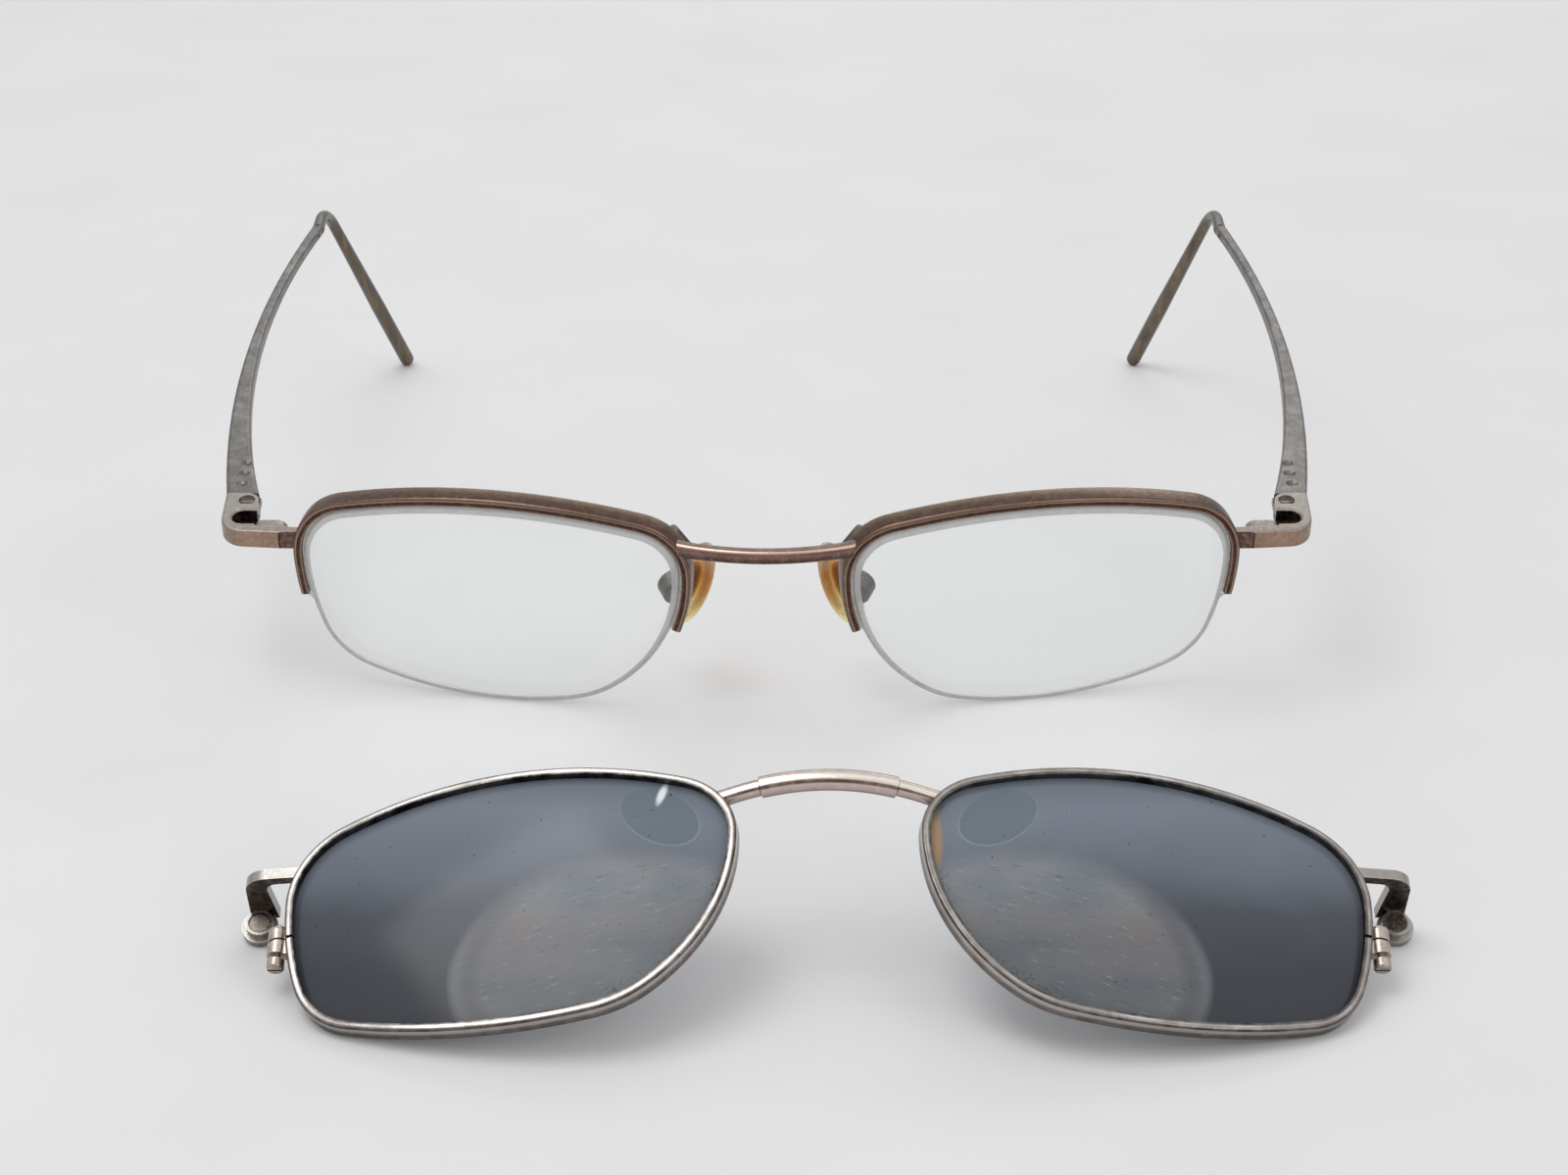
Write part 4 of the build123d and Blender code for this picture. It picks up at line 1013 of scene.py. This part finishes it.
def makeEarTips():
    look = tipLook
    start = Vector(look["start"])
    first = Vector((0, 1, -tan(radians(look["slope"])))).normalized()
    descent = sqrt(look["length"] ** 2 - look["endX"] ** 2 - look["endY"] ** 2)
    last = Vector((-look["endX"], look["endY"], -descent)).normalized()
    corner = start + first * look["run"]
    angle = first.angle(last)
    reach = look["bend"] * tan(angle / 2)
    axis = first.cross(last).normalized()
    centre = corner - first * reach + axis.cross(first) * look["bend"]
    steps = look["runSteps"]
    atJoint, atBend, atEnd = look["radii"]
    points = [start + first * (look["run"] - reach) * k / steps for k in range(steps)]
    radii = [atJoint + (atBend - atJoint) * k / steps for k in range(steps)]
    for k in range(look["bendSteps"] + 1):
        turn = Matrix.Rotation(angle * k / look["bendSteps"], 4, axis)
        points.append(centre + turn @ (corner - first * reach - centre))
        radii.append(atBend)
    straight = look["length"] - reach - atEnd
    for k in range(1, look["legSteps"] + 1):
        points.append(corner + last * (reach + straight * k / look["legSteps"]))
        swell = min(1.0, k / look["swellSteps"]) ** look["swellPower"]
        radii.append(atBend + (atEnd - atBend) * swell)
    for k in range(1, look["endSteps"] + 1):
        # A round end, whose last ring stops just short of the tip
        turn = pi / 2 * k / look["endSpan"]
        points.append(corner + last * (reach + straight + atEnd * sin(turn)))
        radii.append(atEnd * cos(turn))
    mesh = swept(points, look["width"], look["width"], look["rounding"], radii=radii)
    pair("EarTip", mesh, glassesToWorld, Matrix.Identity(4), [tipOlive], "ear_tip",
         ("left_side", "right_side"))


makeEarTips()
print("ear tips made")


# CAD nodes that keep their shape and get a finish. A name without a side stands for both sides
finishes = {
    "endpiece": "endCopper", "clip_arm": "armSteel", "clip_lock_upper": "lockBronze",
    "clip_lock_lower": "lockBronze", "clip_lock_screw": "lockScrew", "hinge_screw": "screwSteel",
    "pad_screw": "screwSteel", "right_clip_magnet": "magnetPlate", "frame_magnet": "magnetPlate",
    "left_clip_magnet": "rustyMagnet", "magnet_holder": "holderSteel", "pad_arm": "padWire",
    "pad_box": "boxMetal", "pad_insert": "insertMetal", "temple": "templeSteel",
}
for name, metal in finishes.items():
    for node in ([name] if name in nodes else [side + "_" + name for side, _ in sides]):
        nodes[node].data.materials.clear()
        nodes[node].data.materials.append(metals[metal])
print("finishes given")


# Nose pads: drop-shaped, crowned towards the nose, flatter behind
padLook = dict(
    lensNose=(10.6, -1.9888), inset=1.5, setBack=10.0, z=-2.5, lean=22.0, splay=27.0, halfLength=6.3,
    halfWidth=3.2, halfThickness=0.95, narrowing=0.16, crown=0.55, rings=10, around=64,
)


def padMatrix():
    lean, splay = radians(padLook["lean"]), radians(padLook["splay"])
    up = Vector((-sin(lean), 0, cos(lean)))
    towardsNose = Vector((-cos(splay) * cos(lean), sin(splay), -cos(splay) * sin(lean)))
    across = up.cross(towardsNose).normalized()
    rows = Matrix((across, towardsNose.cross(across), towardsNose)).transposed().to_4x4()
    noseX, noseY = padLook["lensNose"]
    return Matrix.Translation((noseX - padLook["inset"], noseY + padLook["setBack"], padLook["z"])) @ rows


def padMesh():
    look = padLook
    rows = []
    for k in range(1, 2 * look["rings"]):
        # Round the edge from the middle of the front to the middle of the back
        turn = pi * k / (2 * look["rings"])
        share = sin(turn) ** look["crown"]
        height = look["halfThickness"] * (cos(turn) if turn < pi / 2 else -abs(cos(turn)) ** look["crown"])
        row = []
        for j in range(look["around"]):
            angle = 2 * pi * j / look["around"]
            up = sin(angle) * share
            across = cos(angle) * share * (1 - look["narrowing"] * max(0.0, up) ** 2)
            row.append(Vector((across * look["halfWidth"], up * look["halfLength"], height)))
        rows.append(row)
    middle = Vector((0, 0, look["halfThickness"]))
    vertices, faces = stacked(rows, middle, -middle)
    mesh = meshOf(vertices, faces, "pad")
    height = mesh.attributes.new("padHeight", "FLOAT", "POINT")
    height.data.foreach_set("value", [0.5 + v.y / look["halfLength"] / 2 for v in vertices])
    return smoothed(mesh, 60)


pair("NosePad", padMesh(), glassesToWorld, padMatrix(), [padAmber], "nose_pad",
     ("left_pad", "right_pad"))
print("pads made")


# The cord's end, looped round the rim's temporal end
loopLook = dict(edgeX=23.0, width=0.42, rounding=0.2, route=(
    (-0.35, -4.4), (0.5, -3.75), (1.45, -3.35), (1.75, -2.75), (1.5, -2.15), (0.9, -1.9),
))


def makeCordLoops():
    line = smoothLine([Vector((loopLook["edgeX"] + x, y)) for x, y in loopLook["route"]])
    path = [onCurve(p, lensLook["thickness"] / 2) for p in line]
    mesh = swept(path, loopLook["width"], loopLook["width"], loopLook["rounding"])
    pair("CordLoop", mesh, glassesToWorld, glassesLens, [cordClear], None)


makeCordLoops()
print("cord loops made")


# Floor, light and camera
studio = dict(floorSize=3.0, skyLight=0.62)


def floorMaterial():
    mat, tree, shader, coords = newMaterial("paleFloor")
    speckle = noise(tree, coords, 0.03, 2, 0.5)
    colour = ramp(tree, speckle, ((0.3, (0.79, 0.79, 0.8)), (0.7, (0.815, 0.815, 0.825))))
    setInputs(tree, shader, {"Base Color": colour, "Roughness": 0.75, "Specular IOR Level": 0.2})
    return mat


def makeStage():
    half = studio["floorSize"] / 2
    low = cadBounds[0][2]
    corners = [(half * x, half * y, low) for x, y in ((-1, -1), (1, -1), (1, 1), (-1, 1))]
    mesh = meshOf(corners, [(0, 1, 2, 3)])
    mesh.materials.append(floorMaterial())
    floor = linked("floor", mesh)


def makeWorld():
    # Lit evenly, but seen and mirrored as a sky that gets paler upwards
    world = bpy.data.worlds.new("studio")
    bpy.context.scene.world = world
    world.use_nodes = True
    tree = world.node_tree
    tree.nodes.clear()
    out = newNode(tree, "OutputWorld")
    path = newNode(tree, "LightPath")
    coords = newNode(tree, "TexCoord")
    _, _, up = split(tree, coords.outputs["Generated"])
    seen = newNode(tree, "Background")
    light = newNode(tree, "Background")
    setInputs(tree, light, {"Color": (1, 1, 1), "Strength": studio["skyLight"]})
    feed(tree, ramp(tree, up, (
        (0.0, (0.5, 0.5, 0.51)), (0.12, (0.62, 0.62, 0.63)), (0.35, (0.86, 0.86, 0.87)), (0.9, (1, 1, 1)),
    )), seen.inputs[0])
    glossy = maths(tree, "MAXIMUM", path.outputs["Is Camera Ray"], path.outputs["Is Glossy Ray"])
    every = maths(tree, "MAXIMUM", glossy, path.outputs["Is Transmission Ray"])
    mixedShader(tree, every, light.outputs[0], seen.outputs[0], out)


def lamp(name, place, aim, size, power):
    data = bpy.data.lights.new(name, "AREA")
    data.shape = "RECTANGLE"
    data.size, data.size_y = size
    data.energy = power
    piece = linked(name, data)
    piece.location = place
    piece.rotation_euler = (Vector(aim) - Vector(place)).to_track_quat("-Z", "Y").to_euler()


view = dict(lens=81.0, sensor=36.0, pitch=24.0, place=(0.0018, -0.4133, 0.1915), clipStart=0.01)


def makeCamera():
    data = bpy.data.cameras.new("camera")
    data.lens = view["lens"]
    data.sensor_width = view["sensor"]
    data.sensor_fit = "HORIZONTAL"
    data.clip_start = view["clipStart"]
    camera = linked("camera", data)
    camera.location = view["place"]
    camera.rotation_euler = (radians(90 - view["pitch"]), 0, 0)
    bpy.context.scene.camera = camera


makeStage()
makeWorld()
lamp("keyLamp", (-0.25, -0.15, 0.7), (0, -0.02, 0), (0.5, 0.35), 1.5)
lamp("fillLamp", (0.45, -0.45, 0.45), (0, -0.02, 0), (0.35, 0.3), 0.5)
lamp("backLamp", (0.1, 0.6, 0.45), (0, 0, 0), (0.6, 0.25), 0.7)
makeCamera()
bpy.context.scene.view_settings.view_transform = "Standard"
print("stage made")
